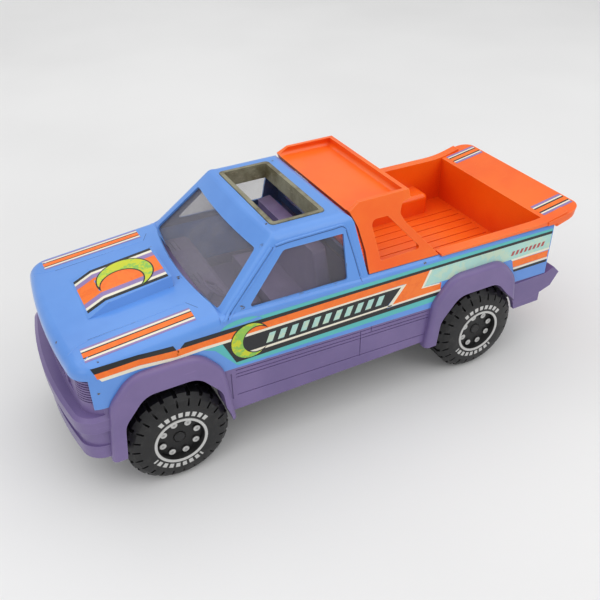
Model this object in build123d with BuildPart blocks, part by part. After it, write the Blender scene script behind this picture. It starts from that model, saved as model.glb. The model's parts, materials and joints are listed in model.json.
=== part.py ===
"""Toy pickup truck: a pressed-steel upper body on a moulded plastic lower body, with a moulded bed
liner and spoiler, a tray-topped roll bar, clear cab glazing, four one-piece wheels and a pull-back
motor geared to the rear axle.

Frame: +X forward, +Y to the truck's left, +Z up. The origin is on the ground under the middle of
the truck. All sizes are in millimetres."""

import os
from math import atan2, cos, degrees, pi, radians, sin, sqrt, tan

from build123d import *

# ---------------------------------------------------------------- driving dimensions

# overall
HALF_WIDTH = 41.8  # blue body side
FRONT_X = 116.2  # hood nose at the middle
TAIL_X = -104.7  # rear face of the blue body
STEEL = 0.9  # pressed-steel wall
PLASTIC = 2.0  # moulded wall

# wheels and axles
FRONT_AXLE_X = 79.5
REAR_AXLE_X = -67.5
AXLE_Z = 21.25
TYRE_R = 21.25
TYRE_GAP = 0.7  # least clearance round a tyre
WHEEL_FACE_Y = 43.0
WHEEL_WIDTH = 16.0
AXLE_R = 1.5
RUNNING_CLEARANCE = 0.05

# belt line, hood and rails
RAIL_FRONT_Z = 70.6  # bed rail behind the cab
RAIL_REAR_Z = 68.3  # bed rail at the tail
RAIL_FRONT_X = -5.0
COWL_X = 61.0  # where the hood meets the windshield
HOOD_REAR_Z = 73.0  # hood height beside the scoop at the cowl
HOOD_SLOPE = 0.0935  # fall of the hood per millimetre forward
HOOD_CROWN = 1.1  # rise of the hood at the middle
EDGE_R = 4.5  # shoulder radius along hood and rails
NOSE_BOW = 3.4  # how far the nose bows forward at the middle
NOSE_CORNER_R = 9.0

# cab
CAB_BASE_Z = 70.0
ROOF_Z = 96.3
CAB_REAR_BASE_X = -6.1
CAB_REAR_TOP_X = -2.4
SCREEN_BASE_X = 61.6  # windshield plane at the cab base
SCREEN_TOP_X = 32.4  # windshield plane at roof height
SCREEN_BOW = 2.4
CAB_HALF_BASE = 41.0
CAB_HALF_TOP = 33.0
CAB_FOOT = 8.0  # how far the cab form runs on below its base
PILLAR_R = 3.0
ROOF_R = 4.5

# colour split: the blue body ends on this sloping line
SPLIT_MID_Z = 45.5
SPLIT_SLOPE = 0.036
SKIRT_BOTTOM_Z = 26.0

# bed
BED_FRONT_X = -9.0
BED_REAR_X = -102.6
BED_HALF = 39.3
BED_FLOOR_Z = 47.4
LINER = 1.8
SPOILER_Z = 70.2
SPOILER_TIP_X = -120.0
SPOILER_TIP_Z = 73.4
SPOILER_HALF = 42.4

# underframe and its screws
FRAME_TOP_Z = 30.0
FRAME_T = 2.0
SCREW_R = 1.3
SCREW_PLACES = ((34.0, 15.0), (34.0, -15.0), (4.0, 15.0), (4.0, -15.0), (-92.0, 15.0), (-92.0, -15.0))
BOSS_R = 3.2

os.makedirs("parts", exist_ok=True)
finished = []


def split_z(x):
    """Height of the line between the blue body and the purple lower body."""
    return SPLIT_MID_Z + SPLIT_SLOPE * x


def hood_z(x):
    """Height of the hood beside the scoop."""
    return HOOD_REAR_Z - HOOD_SLOPE * (x - COWL_X)


def rail_z(x):
    """Height of the bed rail."""
    return RAIL_FRONT_Z + (x - RAIL_FRONT_X) * (RAIL_FRONT_Z - RAIL_REAR_Z) / (RAIL_FRONT_X - TAIL_X)


def side_plane(y):
    """Sketch plane facing -Y whose x and y are the truck's X and Z: a positive extrude goes to -Y."""
    return Plane(origin=(0, y, 0), x_dir=(1, 0, 0), z_dir=(0, -1, 0))


def cross_plane(x):
    """Sketch plane facing +X whose x and y are the truck's Y and Z."""
    return Plane(origin=(x, 0, 0), x_dir=(0, 1, 0), z_dir=(1, 0, 0))


def save(builder, name):
    """Label a finished piece and write it."""
    builder.part.label = name
    export_step(builder.part, f"parts/{name}.step")
    finished.append(name)


# ---------------------------------------------------------------- shared outlines


def nose_plan(front_x, half, rear_x, bow, corner_r):
    """Plan outline: square at the rear, with a bowed nose and rounded front corners."""
    with BuildSketch(Plane.XY, mode=Mode.PRIVATE) as outline:
        with BuildLine():
            left = Line((rear_x, half), (front_x - bow, half))
            nose = ThreePointArc(left @ 1, (front_x, 0), (front_x - bow, -half))
            right = Line(nose @ 1, (rear_x, -half))
            Line(right @ 1, left @ 0)
        make_face()
        front_corners = vertices().sort_by(Axis.X)[-2:]
        fillet(front_corners, radius=corner_r)
    return outline.sketch


def crowned_section(z_side, z_middle, half):
    """Cross-section of hood and fenders: upright sides and a crowned top."""
    floor_z = 20.0
    with BuildSketch(Plane.XY, mode=Mode.PRIVATE) as outline:
        with BuildLine():
            left = Line((half, floor_z), (half, z_side))
            top = ThreePointArc(left @ 1, (0, z_middle), (-half, z_side))
            right = Line(top @ 1, (-half, floor_z))
            Line(right @ 1, left @ 0)
        make_face()
    return outline.sketch


ARCH_LEAN = 3.0  # how far each leg leans in by the time it reaches the shoulder
ARCH_DROP = 11.0  # how far the shoulder starts below the top
ARCH_SHOULDER = 12.0  # how far in the flat top starts


def wheel_arch(x, top_z, front_base, rear_base, base_z, corner_r, grow=0.0):
    """Side outline of a wheel opening: nearly upright legs with generous upper corners."""
    with BuildSketch(Plane.XY, mode=Mode.PRIVATE) as outline:
        with BuildLine():
            Polyline(
                (x + front_base + grow, base_z),
                (x + front_base - ARCH_LEAN + grow, top_z - ARCH_DROP + grow * 0.6),
                (x + front_base - ARCH_SHOULDER + grow * 0.6, top_z + grow),
                (x + rear_base + ARCH_SHOULDER - grow * 0.6, top_z + grow),
                (x + rear_base + ARCH_LEAN - grow, top_z - ARCH_DROP + grow * 0.6),
                (x + rear_base - grow, base_z),
                close=True,
            )
        make_face()
        corners = vertices().group_by(Axis.Y)
        fillet(corners[-1] + corners[-2], radius=corner_r)
    return outline.sketch


# wheel openings and flare outlines: reach ahead of and behind the axle, and height at the top
FRONT_ARCH = {"x": FRONT_AXLE_X, "top_z": 51.0, "front_base": 23.1, "rear_base": -21.7}
REAR_ARCH = {"x": REAR_AXLE_X, "top_z": 47.3, "front_base": 27.3, "rear_base": -18.2}
FRONT_FLARE = {"x": FRONT_AXLE_X, "top_z": 61.0, "front_base": 27.3, "rear_base": -23.6}
REAR_FLARE = {"x": REAR_AXLE_X, "top_z": 58.4, "front_base": 31.5, "rear_base": -20.0}
ARCH_CORNER_R = 8.5
FLARE_CORNER_R = 12.0
FLARE_BOTTOM_Z = 23.8
FLARE_LIP = 2.2  # wall of the lip that lines each wheel opening
LIP_GAP = 0.4  # between that lip and the blue body


# ---------------------------------------------------------------- pressed-steel upper body


def upper_solid(inset):
    """The closed outer form of the blue body, or its inside when inset is the wall thickness."""
    half = HALF_WIDTH - inset
    edge_r = EDGE_R - inset
    with BuildPart(mode=Mode.PRIVATE) as hood:
        # the hood falls towards a bowed nose, with one rounded shoulder all the way round
        for x in (COWL_X - 3.0, FRONT_X + 4.0):
            with BuildSketch(cross_plane(x)):
                z = hood_z(x) - inset
                add(crowned_section(z - 0.5, z + HOOD_CROWN, half + 5.0))
        loft(ruled=True)
        with BuildSketch(Plane.XY):
            add(nose_plan(FRONT_X - inset, half, COWL_X - 3.0, NOSE_BOW, NOSE_CORNER_R - inset))
        extrude(amount=100.0, mode=Mode.INTERSECT)
        crown = hood.faces().sort_by(Axis.Z)[-1]
        shoulder = crown.edges().sort_by(Axis.X)[1:]
        fillet(shoulder, radius=edge_r)

    with BuildPart(mode=Mode.PRIVATE) as sides:
        # the belt line falls gently towards the tail
        with BuildSketch(side_plane(half)):
            with BuildLine():
                Polyline(
                    (COWL_X - 3.0, 20.0),
                    (COWL_X - 3.0, hood_z(COWL_X) - 0.5 - inset),
                    (RAIL_FRONT_X, RAIL_FRONT_Z - inset),
                    (TAIL_X + inset, rail_z(TAIL_X) - inset),
                    (TAIL_X + inset, 20.0),
                    close=True,
                )
            make_face()
        extrude(amount=2 * half)
        rails = sides.edges().filter_by(lambda e: e.center().Z > 60 and abs(e.center().Y) > 20)
        fillet(rails, radius=edge_r if inset else 2.0)

    with BuildPart(mode=Mode.PRIVATE) as cab:
        base_half = CAB_HALF_BASE - inset
        top_half = CAB_HALF_TOP - inset
        levels = (
            (CAB_BASE_Z, SCREEN_BASE_X - 1.5 * inset, CAB_REAR_BASE_X + inset, base_half, SCREEN_BOW),
            (ROOF_Z - inset, SCREEN_TOP_X - 0.4 * inset, CAB_REAR_TOP_X + inset, top_half, 1.2),
        )
        for z, front, rear, side, bow in levels:
            with BuildSketch(Plane.XY.offset(z)):
                with BuildLine():
                    left = Line((rear, side), (front - bow, side))
                    screen = ThreePointArc(left @ 1, (front, 0), (front - bow, -side))
                    right = Line(screen @ 1, (rear, -side))
                    Line(right @ 1, left @ 0)
                make_face()
        loft(ruled=True)
        pillar_edges = cab.edges().filter_by(lambda e: e.bounding_box().size.Z > 20 and e.center().X > 20)
        fillet(pillar_edges, radius=PILLAR_R)
        roof_edges = cab.faces().sort_by(Axis.Z)[-1].edges()
        fillet(roof_edges, radius=ROOF_R)
        # a foot carries the cab's hollow down into the body's
        extrude(cab.faces().sort_by(Axis.Z)[0], amount=CAB_FOOT)

    with BuildPart(mode=Mode.PRIVATE) as scoop:
        rear_x, break_x, front_x = 66.2 + inset, 92.5, 101.0
        with BuildSketch(cross_plane(rear_x)):
            with BuildLine():
                Polyline(
                    (15.0 - inset, 66.0),
                    (15.0 - inset, hood_z(80.0) - 0.6 - inset),
                    (12.2 - inset, 79.0),
                    (-12.2 + inset, 79.0),
                    (-15.0 + inset, hood_z(80.0) - 0.6 - inset),
                    (-15.0 + inset, 66.0),
                    close=True,
                )
            make_face()
        extrude(amount=front_x - rear_x)
        with BuildSketch(side_plane(30.0)):
            with BuildLine():
                Polyline(
                    (rear_x, 64.0),
                    (rear_x, hood_z(rear_x) + 4.9 - inset),
                    (break_x, hood_z(break_x) + 4.1 - inset),
                    (front_x, hood_z(front_x) + 0.9 - inset),
                    (front_x, 64.0),
                    close=True,
                )
            make_face()
        extrude(amount=60.0, mode=Mode.INTERSECT)

    return hood.part + sides.part + cab.part + scoop.part


SCREEN_RUN = SCREEN_BASE_X - SCREEN_TOP_X
SCREEN_RISE = ROOF_Z - CAB_BASE_Z
SCREEN_SLANT = sqrt(SCREEN_RUN**2 + SCREEN_RISE**2)
SCREEN_PLANE = Plane(
    origin=(SCREEN_BASE_X, 0, CAB_BASE_Z),
    x_dir=(0, 1, 0),
    z_dir=(SCREEN_RISE / SCREEN_SLANT, 0, SCREEN_RUN / SCREEN_SLANT),
)


def screen_outline(grow):
    """Windshield opening, on the slanted windshield plane."""
    with BuildSketch(Plane.XY, mode=Mode.PRIVATE) as outline:
        with BuildLine():
            foot = Line((-35.6 - grow, 5.6 - grow), (-29.6 - grow, 31.6 + grow))
            head = ThreePointArc(foot @ 1, (0, 30.4 + grow), (29.6 + grow, 31.6 + grow))
            other = Line(head @ 1, (35.6 + grow, 5.6 - grow))
            ThreePointArc(other @ 1, (0, 3.0 - grow), foot @ 0)
        make_face()
        fillet(vertices(), radius=1.6)
    return outline.sketch


def side_window_outline(grow):
    """Door window, seen from the side."""
    with BuildSketch(Plane.XY, mode=Mode.PRIVATE) as outline:
        with BuildLine():
            Polyline(
                (46.4 + 1.6 * grow, 72.3 - grow),
                (3.3 - grow, 71.6 - grow),
                (2.4 - grow, 89.7 + grow),
                (28.4 + 0.4 * grow, 89.9 + grow),
                close=True,
            )
        make_face()
        fillet(vertices().group_by(Axis.Y)[-1], radius=2.6)
        fillet(vertices().sort_by(Axis.Y)[:2], radius=1.0)
    return outline.sketch


def rear_window_outline(grow):
    """Rear window, on the cab's rear wall."""
    with BuildSketch(Plane.XY, mode=Mode.PRIVATE) as outline:
        with BuildLine():
            Polyline(
                (-33.0 - grow, 74.0 - grow),
                (-28.0 - grow, 89.5 + grow),
                (28.0 + grow, 89.5 + grow),
                (33.0 + grow, 74.0 - grow),
                close=True,
            )
        make_face()
        fillet(vertices(), radius=2.0)
    return outline.sketch


SUNROOF_FRONT_X = 29.3
SUNROOF_REAR_X = 5.5
SUNROOF_HALF = 26.6
SUNROOF_MID_X = (SUNROOF_FRONT_X + SUNROOF_REAR_X) / 2
SUNROOF_LENGTH = SUNROOF_FRONT_X - SUNROOF_REAR_X

outer_form = upper_solid(0.0)
inner_form = upper_solid(STEEL)

with BuildPart() as body_shell:
    add(outer_form)
    add(inner_form, mode=Mode.SUBTRACT)
    # everything under the colour split is open
    with BuildSketch(side_plane(60.0)):
        with BuildLine():
            Polyline(
                (-130.0, 10.0),
                (-130.0, split_z(-130.0)),
                (130.0, split_z(130.0)),
                (130.0, 10.0),
                close=True,
            )
        make_face()
    extrude(amount=120.0, mode=Mode.SUBTRACT)
    # the nose is open below the hood lip for the fascia
    with BuildSketch(side_plane(60.0)):
        with Locations((129.0, 52.8)):
            Rectangle(40.8, 20.4)
    extrude(amount=120.0, mode=Mode.SUBTRACT)
    # wheel arches
    for arch in (FRONT_ARCH, REAR_ARCH):
        with BuildSketch(side_plane(60.0)):
            add(wheel_arch(base_z=10.0, corner_r=ARCH_CORNER_R, grow=FLARE_LIP + LIP_GAP, **arch))
        extrude(amount=120.0, mode=Mode.SUBTRACT)
    # glass openings
    with BuildSketch(SCREEN_PLANE):
        add(screen_outline(0.0))
    extrude(amount=7.0, both=True, mode=Mode.SUBTRACT)
    with BuildSketch(side_plane(60.0)):
        add(side_window_outline(0.0))
    extrude(amount=120.0, mode=Mode.SUBTRACT)
    with BuildSketch(cross_plane(-10.0)):
        add(rear_window_outline(0.0))
    extrude(amount=14.0, mode=Mode.SUBTRACT)
    with BuildSketch(Plane.XY.offset(90.0)):
        with Locations((SUNROOF_MID_X, 0)):
            RectangleRounded(SUNROOF_LENGTH, 2 * SUNROOF_HALF, 2.0)
    extrude(amount=20.0, mode=Mode.SUBTRACT)
    # load bed opening
    with BuildSketch(Plane.XY.offset(60.0)):
        with Locations(((BED_FRONT_X + BED_REAR_X) / 2, 0)):
            RectangleRounded(BED_FRONT_X - BED_REAR_X, 2 * BED_HALF + 0.4, 0.5)
    extrude(amount=20.0, mode=Mode.SUBTRACT)

save(body_shell, "body_shell")


# ---------------------------------------------------------------- moulded lower body

FLARE_PROUD = 2.8  # how far the flares stand out from the side
SKIRT_INSET = 0.2  # the purple skirt sits just inside the blue side
FLARE_DEPTH = 7.0  # how far the flare lip runs inwards
RIB_COUNT = 9
RIB_PITCH = 1.2
RIB_LOW_Z = 51.2
FASCIA_X = 114.6
BUMPER_X = 120.0
REAR_BUMPER_X = -113.6


def ring_of(front_x, half, rear_x, bow, corner_r, wall):
    """Plan ring: the nose outline with its inside removed."""
    with BuildSketch(Plane.XY, mode=Mode.PRIVATE) as ring:
        add(nose_plan(front_x, half, rear_x, bow, corner_r))
        add(
            nose_plan(front_x - wall, half - wall, rear_x + wall, bow, corner_r - wall),
            mode=Mode.SUBTRACT,
        )
    return ring.sketch


def under_split(lowest_x, highest_x, drop=0.0):
    """Side outline of everything below the colour split."""
    with BuildSketch(Plane.XY, mode=Mode.PRIVATE) as outline:
        with BuildLine():
            Polyline(
                (lowest_x, 0.0),
                (lowest_x, split_z(lowest_x) - drop),
                (highest_x, split_z(highest_x) - drop),
                (highest_x, 0.0),
                close=True,
            )
        make_face()
    return outline.sketch


def flare_solid(side, arch, flare):
    """One wheel flare, before the wheel opening is cut through it."""
    proud_y = side * (HALF_WIDTH + FLARE_PROUD)
    root_y = side * (HALF_WIDTH + 0.2)
    with BuildPart(mode=Mode.PRIVATE) as solid:
        with BuildSketch(side_plane(proud_y)):
            add(wheel_arch(base_z=FLARE_BOTTOM_Z, corner_r=FLARE_CORNER_R, **flare))
        extrude(amount=side * (FLARE_PROUD - 0.05))
        face = solid.faces().sort_by(Axis.Y)[-1 if side > 0 else 0]
        fillet(face.edges().sort_by(Axis.Z)[1:], radius=FLARE_PROUD - 0.6)
        with BuildSketch(side_plane(root_y)):
            add(wheel_arch(base_z=FLARE_BOTTOM_Z, corner_r=FLARE_CORNER_R, **flare))
            add(under_split(-120.0, 130.0, drop=0.05), mode=Mode.INTERSECT)
        extrude(amount=side * 2.6)
        with BuildSketch(side_plane(root_y)):
            add(wheel_arch(base_z=FLARE_BOTTOM_Z, corner_r=ARCH_CORNER_R, grow=FLARE_LIP, **arch))
        extrude(amount=side * FLARE_DEPTH)
    return solid.part


# fascia and front bumper, made first and then joined to the lower body
NOSE_REAR_X = 103.4

with BuildPart() as front_end:
    # fascia under the hood lip
    with BuildSketch(Plane.XY.offset(44.0)):
        add(ring_of(FASCIA_X, HALF_WIDTH - 1.0, 90.0, NOSE_BOW, NOSE_CORNER_R, 3.0))
    extrude(amount=62.9 - 44.0)
    # slatted grille
    with BuildSketch(cross_plane(FASCIA_X + 1.0)):
        with Locations((0, 55.6)):
            Rectangle(40.0, 9.6)
    extrude(amount=-2.6, mode=Mode.SUBTRACT)
    with BuildSketch(cross_plane(FASCIA_X - 2.2)):
        with Locations(*[(0, 52.0 + 2.4 * k) for k in range(4)]):
            Rectangle(40.4, 0.9)
        with Locations(*[(y, 55.6) for y in (-10.0, 0.0, 10.0)]):
            Rectangle(0.9, 9.8)
    extrude(amount=1.6)
    for side in (1, -1):
        # flat head-lamp recess
        with BuildSketch(cross_plane(FASCIA_X + 1.0)):
            with Locations((side * 28.6, 56.0)):
                Rectangle(11.0, 9.8)
        extrude(amount=-2.8, mode=Mode.SUBTRACT)
        # ribbed corner lamp, cut square across the rounded corner
        lamp_place = (FASCIA_X - 4.7, side * (HALF_WIDTH - 2.3))
        for k in range(RIB_COUNT):
            with BuildSketch(Plane.XY.offset(RIB_LOW_Z + k * RIB_PITCH)):
                with Locations(lamp_place):
                    Rectangle(12.0, 5.0, rotation=side * -48.0)
            extrude(amount=RIB_PITCH / 2, mode=Mode.SUBTRACT)
    # bumper: beam, recessed pocket band and valance
    for base_z, top_z, nose_x, half in (
        (38.8, 45.6, BUMPER_X, HALF_WIDTH + 0.6),
        (31.0, 38.8, BUMPER_X - 1.8, HALF_WIDTH - 0.9),
        (SKIRT_BOTTOM_Z - 1.0, 31.0, BUMPER_X - 1.0, HALF_WIDTH - 0.4),
    ):
        with BuildSketch(Plane.XY.offset(base_z)):
            add(ring_of(nose_x, half, 90.0, 5.2, NOSE_CORNER_R, 3.2))
        extrude(amount=top_z - base_z)
    # shelf between bumper and fascia
    with BuildSketch(Plane.XY.offset(44.0)):
        add(nose_plan(BUMPER_X - 1.0, HALF_WIDTH - 0.8, 90.0, 5.2, NOSE_CORNER_R))
    extrude(amount=1.6)
    with BuildSketch(cross_plane(NOSE_REAR_X)):
        with Locations((0, 45.0)):
            Rectangle(120.0, 60.0)
    extrude(amount=-30.0, mode=Mode.SUBTRACT)
    beam_edges = front_end.edges().filter_by(
        lambda e: abs(e.bounding_box().min.Z - 45.6) < 0.01
        and abs(e.bounding_box().max.Z - 45.6) < 0.01
        and (e.center().X > 117.0 or abs(e.center().Y) > HALF_WIDTH)
    )
    chamfer(beam_edges, length=1.4)

with BuildPart() as rear_bumper:
    for grow, half, mode in ((0.0, HALF_WIDTH + 0.4, Mode.ADD), (-2.0, HALF_WIDTH - 1.8, Mode.SUBTRACT)):
        with BuildSketch(side_plane(half)):
            with BuildLine():
                Polyline(
                    (-86.0, 29.2 + 5.0 * grow),
                    (-86.0, 41.2 + grow),
                    (TAIL_X - 0.3, 41.6 + grow),
                    (-110.0, 43.6 + grow),
                    (REAR_BUMPER_X - grow, 39.9 + 0.4 * grow),
                    (REAR_BUMPER_X + 4.0 - grow, 33.4 + 5.0 * grow),
                    (-98.0, 29.6 + 5.0 * grow),
                    close=True,
                )
            make_face()
        extrude(amount=2 * half, mode=mode)
    # the shelf stays clear of the load bed's tail wall
    with BuildSketch(side_plane(HALF_WIDTH - 1.8)):
        with Locations((-94.0, 36.0)):
            Rectangle(18.0, 20.0)
    extrude(amount=2 * (HALF_WIDTH - 1.8), mode=Mode.SUBTRACT)

ROCKER_GROOVES_Z = (44.4, 42.5, 40.9, 31.9)
GROOVE = 0.45

with BuildPart() as lower_body:
    # skirt: a ring under the blue body, open at the bottom
    with BuildSketch(Plane.XY.offset(SKIRT_BOTTOM_Z)):
        add(ring_of(113.0, HALF_WIDTH - SKIRT_INSET, -104.0, NOSE_BOW, NOSE_CORNER_R, PLASTIC))
    extrude(amount=40.0)
    with BuildSketch(side_plane(60.0)):
        add(under_split(-120.0, NOSE_REAR_X + 2.0, drop=0.05))
    extrude(amount=120.0, mode=Mode.INTERSECT)
    # rocker grooves and door lines
    for side in (1, -1):
        outer_y = side * (HALF_WIDTH - SKIRT_INSET + 1.0)
        with BuildSketch(side_plane(outer_y)):
            for z in ROCKER_GROOVES_Z:
                tilt = degrees(SPLIT_SLOPE)
                with Locations((8.0, z)):
                    Rectangle(92.0, GROOVE, rotation=tilt)
            with Locations((56.0, 38.5), (-3.0, 37.5)):
                Rectangle(GROOVE, 13.0)
            with Locations((-8.3, 44.0)):
                Rectangle(GROOVE, 3.6)
        extrude(amount=side * 1.45, mode=Mode.SUBTRACT)
    # flares: proud of the side, tied to the skirt below the split, with a lip round each opening
    for side in (1, -1):
        add(flare_solid(side, FRONT_ARCH, FRONT_FLARE))
        add(flare_solid(side, REAR_ARCH, REAR_FLARE))
    add(front_end.part)
    add(rear_bumper.part)
    for arch in (FRONT_ARCH, REAR_ARCH):
        with BuildSketch(side_plane(HALF_WIDTH + FLARE_PROUD + 1.0)):
            add(wheel_arch(base_z=10.0, corner_r=ARCH_CORNER_R, **arch))
            with Locations((arch["x"], AXLE_Z)):
                Circle(TYRE_R + TYRE_GAP)
        extrude(amount=2 * (HALF_WIDTH + FLARE_PROUD + 1.0), mode=Mode.SUBTRACT)

save(lower_body, "lower_body")

# ---------------------------------------------------------------- bed liner with spoiler

COVER_FRONT_X = -41.6  # the rail covers start just behind the roll bar
RIM_LIFT = 0.2  # the liner's rim stands this far above the blue rail
WELL_HALF_LENGTH = 17.5
WELL_INNER_Y = 26.0
WELL_TOP_Z = 58.0
FLOOR_RIBS = 9

with BuildPart() as bed_liner:
    # tub
    with BuildSketch(side_plane(BED_HALF)):
        with BuildLine():
            Polyline(
                (BED_FRONT_X - 0.4, BED_FLOOR_Z - LINER),
                (BED_FRONT_X - 0.4, rail_z(BED_FRONT_X) + RIM_LIFT),
                (BED_REAR_X + 0.4, rail_z(BED_REAR_X) + RIM_LIFT),
                (BED_REAR_X + 0.4, BED_FLOOR_Z - LINER),
                close=True,
            )
        make_face()
    extrude(amount=2 * BED_HALF)
    with BuildSketch(Plane.XY.offset(BED_FLOOR_Z)):
        with Locations(((BED_FRONT_X + BED_REAR_X) / 2, 0)):
            Rectangle(BED_FRONT_X - BED_REAR_X - 0.8 - 2 * LINER, 2 * (BED_HALF - LINER))
    extrude(amount=40.0, mode=Mode.SUBTRACT)
    # wheel wells, hollow underneath
    for side in (1, -1):
        y_mid = side * (BED_HALF + WELL_INNER_Y) / 2
        y_span = BED_HALF - WELL_INNER_Y
        with BuildSketch(Plane.XY.offset(BED_FLOOR_Z - LINER)):
            with Locations((REAR_AXLE_X, y_mid)):
                Rectangle(2 * WELL_HALF_LENGTH, y_span)
        extrude(amount=WELL_TOP_Z - BED_FLOOR_Z + LINER)
    well_edges = bed_liner.edges().filter_by(
        lambda e: abs(e.center().Y) > 20
        and e.center().Z > BED_FLOOR_Z + 1
        and e.bounding_box().max.Z <= WELL_TOP_Z + 0.01
        and e.bounding_box().min.Z >= BED_FLOOR_Z - 0.01
        and abs(e.center().Y) < BED_HALF - LINER - 0.1
    )
    fillet(well_edges, radius=2.4)
    for side in (1, -1):
        y_mid = side * (BED_HALF + WELL_INNER_Y) / 2
        y_span = BED_HALF - WELL_INNER_Y
        with BuildSketch(Plane.XY.offset(BED_FLOOR_Z - LINER)):
            with Locations((REAR_AXLE_X, y_mid)):
                Rectangle(2 * (WELL_HALF_LENGTH - LINER - 1.0), y_span - 2 * LINER - 1.0)
        extrude(amount=WELL_TOP_Z - BED_FLOOR_Z - 1.0, mode=Mode.SUBTRACT)
    # longitudinal floor grooves
    groove_x = (BED_FRONT_X + BED_REAR_X) / 2
    with BuildSketch(Plane.XY.offset(BED_FLOOR_Z - 0.5)):
        with Locations(*[(groove_x, (k - (FLOOR_RIBS - 1) / 2) * 5.6) for k in range(FLOOR_RIBS)]):
            Rectangle(BED_FRONT_X - BED_REAR_X - 8.0, 0.7)
    extrude(amount=1.0, mode=Mode.SUBTRACT)
    # room for the lips of the rear wheel openings
    for side in (1, -1):
        with BuildSketch(side_plane(side * (BED_HALF + 1.0))):
            add(wheel_arch(base_z=20.0, corner_r=ARCH_CORNER_R, grow=FLARE_LIP + LIP_GAP, **REAR_ARCH))
        extrude(amount=side * (BED_HALF + 1.0 - 34.5), mode=Mode.SUBTRACT)
    # rails that sweep up and out into the spoiler
    for side in (1, -1):
        inner_y = BED_HALF - LINER
        with BuildSketch(side_plane(side * (HALF_WIDTH + 0.2))):
            with BuildLine():
                low_a = (COVER_FRONT_X, rail_z(COVER_FRONT_X) + 0.05)
                low_b = (TAIL_X + 1.0, rail_z(TAIL_X) + 0.05)
                Polyline(low_a, (COVER_FRONT_X, rail_z(COVER_FRONT_X) + 0.9), (-60.0, rail_z(-60.0) + 1.2))
                Line((-60.0, rail_z(-60.0) + 1.2), (-92.0, rail_z(-92.0) + 1.6))
                Spline(
                    (-92.0, rail_z(-92.0) + 1.6),
                    (-102.0, SPOILER_Z + 0.8),
                    (-111.0, SPOILER_TIP_Z - 0.2),
                    tangents=((-1.0, 0.0), (-1.0, 0.25)),
                )
                Polyline((-111.0, SPOILER_TIP_Z - 0.2), (-111.0, 68.4), (TAIL_X - 1.0, 66.6), low_b, low_a)
            make_face()
        extrude(amount=side * (HALF_WIDTH + 0.2 - inner_y))
    # spoiler plate
    with BuildSketch(side_plane(SPOILER_HALF)):
        with BuildLine():
            Polyline(
                (BED_REAR_X + 2.2, SPOILER_Z),
                (SPOILER_TIP_X, SPOILER_TIP_Z),
                (SPOILER_TIP_X + 0.6, SPOILER_TIP_Z - 2.6),
                (TAIL_X - 1.2, SPOILER_Z - 3.4),
                (TAIL_X - 1.2, rail_z(TAIL_X) + 0.05),
                (BED_REAR_X + 2.2, rail_z(TAIL_X) + 0.05),
                close=True,
            )
        make_face()
    extrude(amount=2 * SPOILER_HALF)
    tip_corners = bed_liner.edges().filter_by(
        lambda e: e.center().X < SPOILER_TIP_X + 1.0
        and abs(e.center().Y) > SPOILER_HALF - 0.5
        and e.bounding_box().size.Y < 0.1
    )
    fillet(tip_corners, radius=6.5)

    # screw bosses under the floor
    for x, y in SCREW_PLACES:
        if x < 0:
            with BuildSketch(Plane.XY.offset(FRAME_TOP_Z + 0.1)):
                with Locations((x, y)):
                    Circle(BOSS_R)
                    Circle(SCREW_R + 0.02, mode=Mode.SUBTRACT)
            extrude(amount=BED_FLOOR_Z - LINER - FRAME_TOP_Z)

save(bed_liner, "bed_liner")

# ---------------------------------------------------------------- roll bar with its tray

TRAY_FRONT_X = -1.8
TRAY_REAR_X = -29.8
TRAY_FLOOR_Z = 96.0
TRAY_TOP_Z = 99.4
LEG_THICK = 2.0
LEG_SLANT = (CAB_HALF_BASE - CAB_HALF_TOP) / (ROOF_Z - CAB_BASE_Z)
LEG_FOOT_Z = 69.0
LEG_FOOT_X = (-7.0, -41.2)


def leg_y(z):
    """Outer face of a roll-bar leg at height z."""
    return 40.4 - (z - CAB_BASE_Z) * LEG_SLANT


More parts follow.
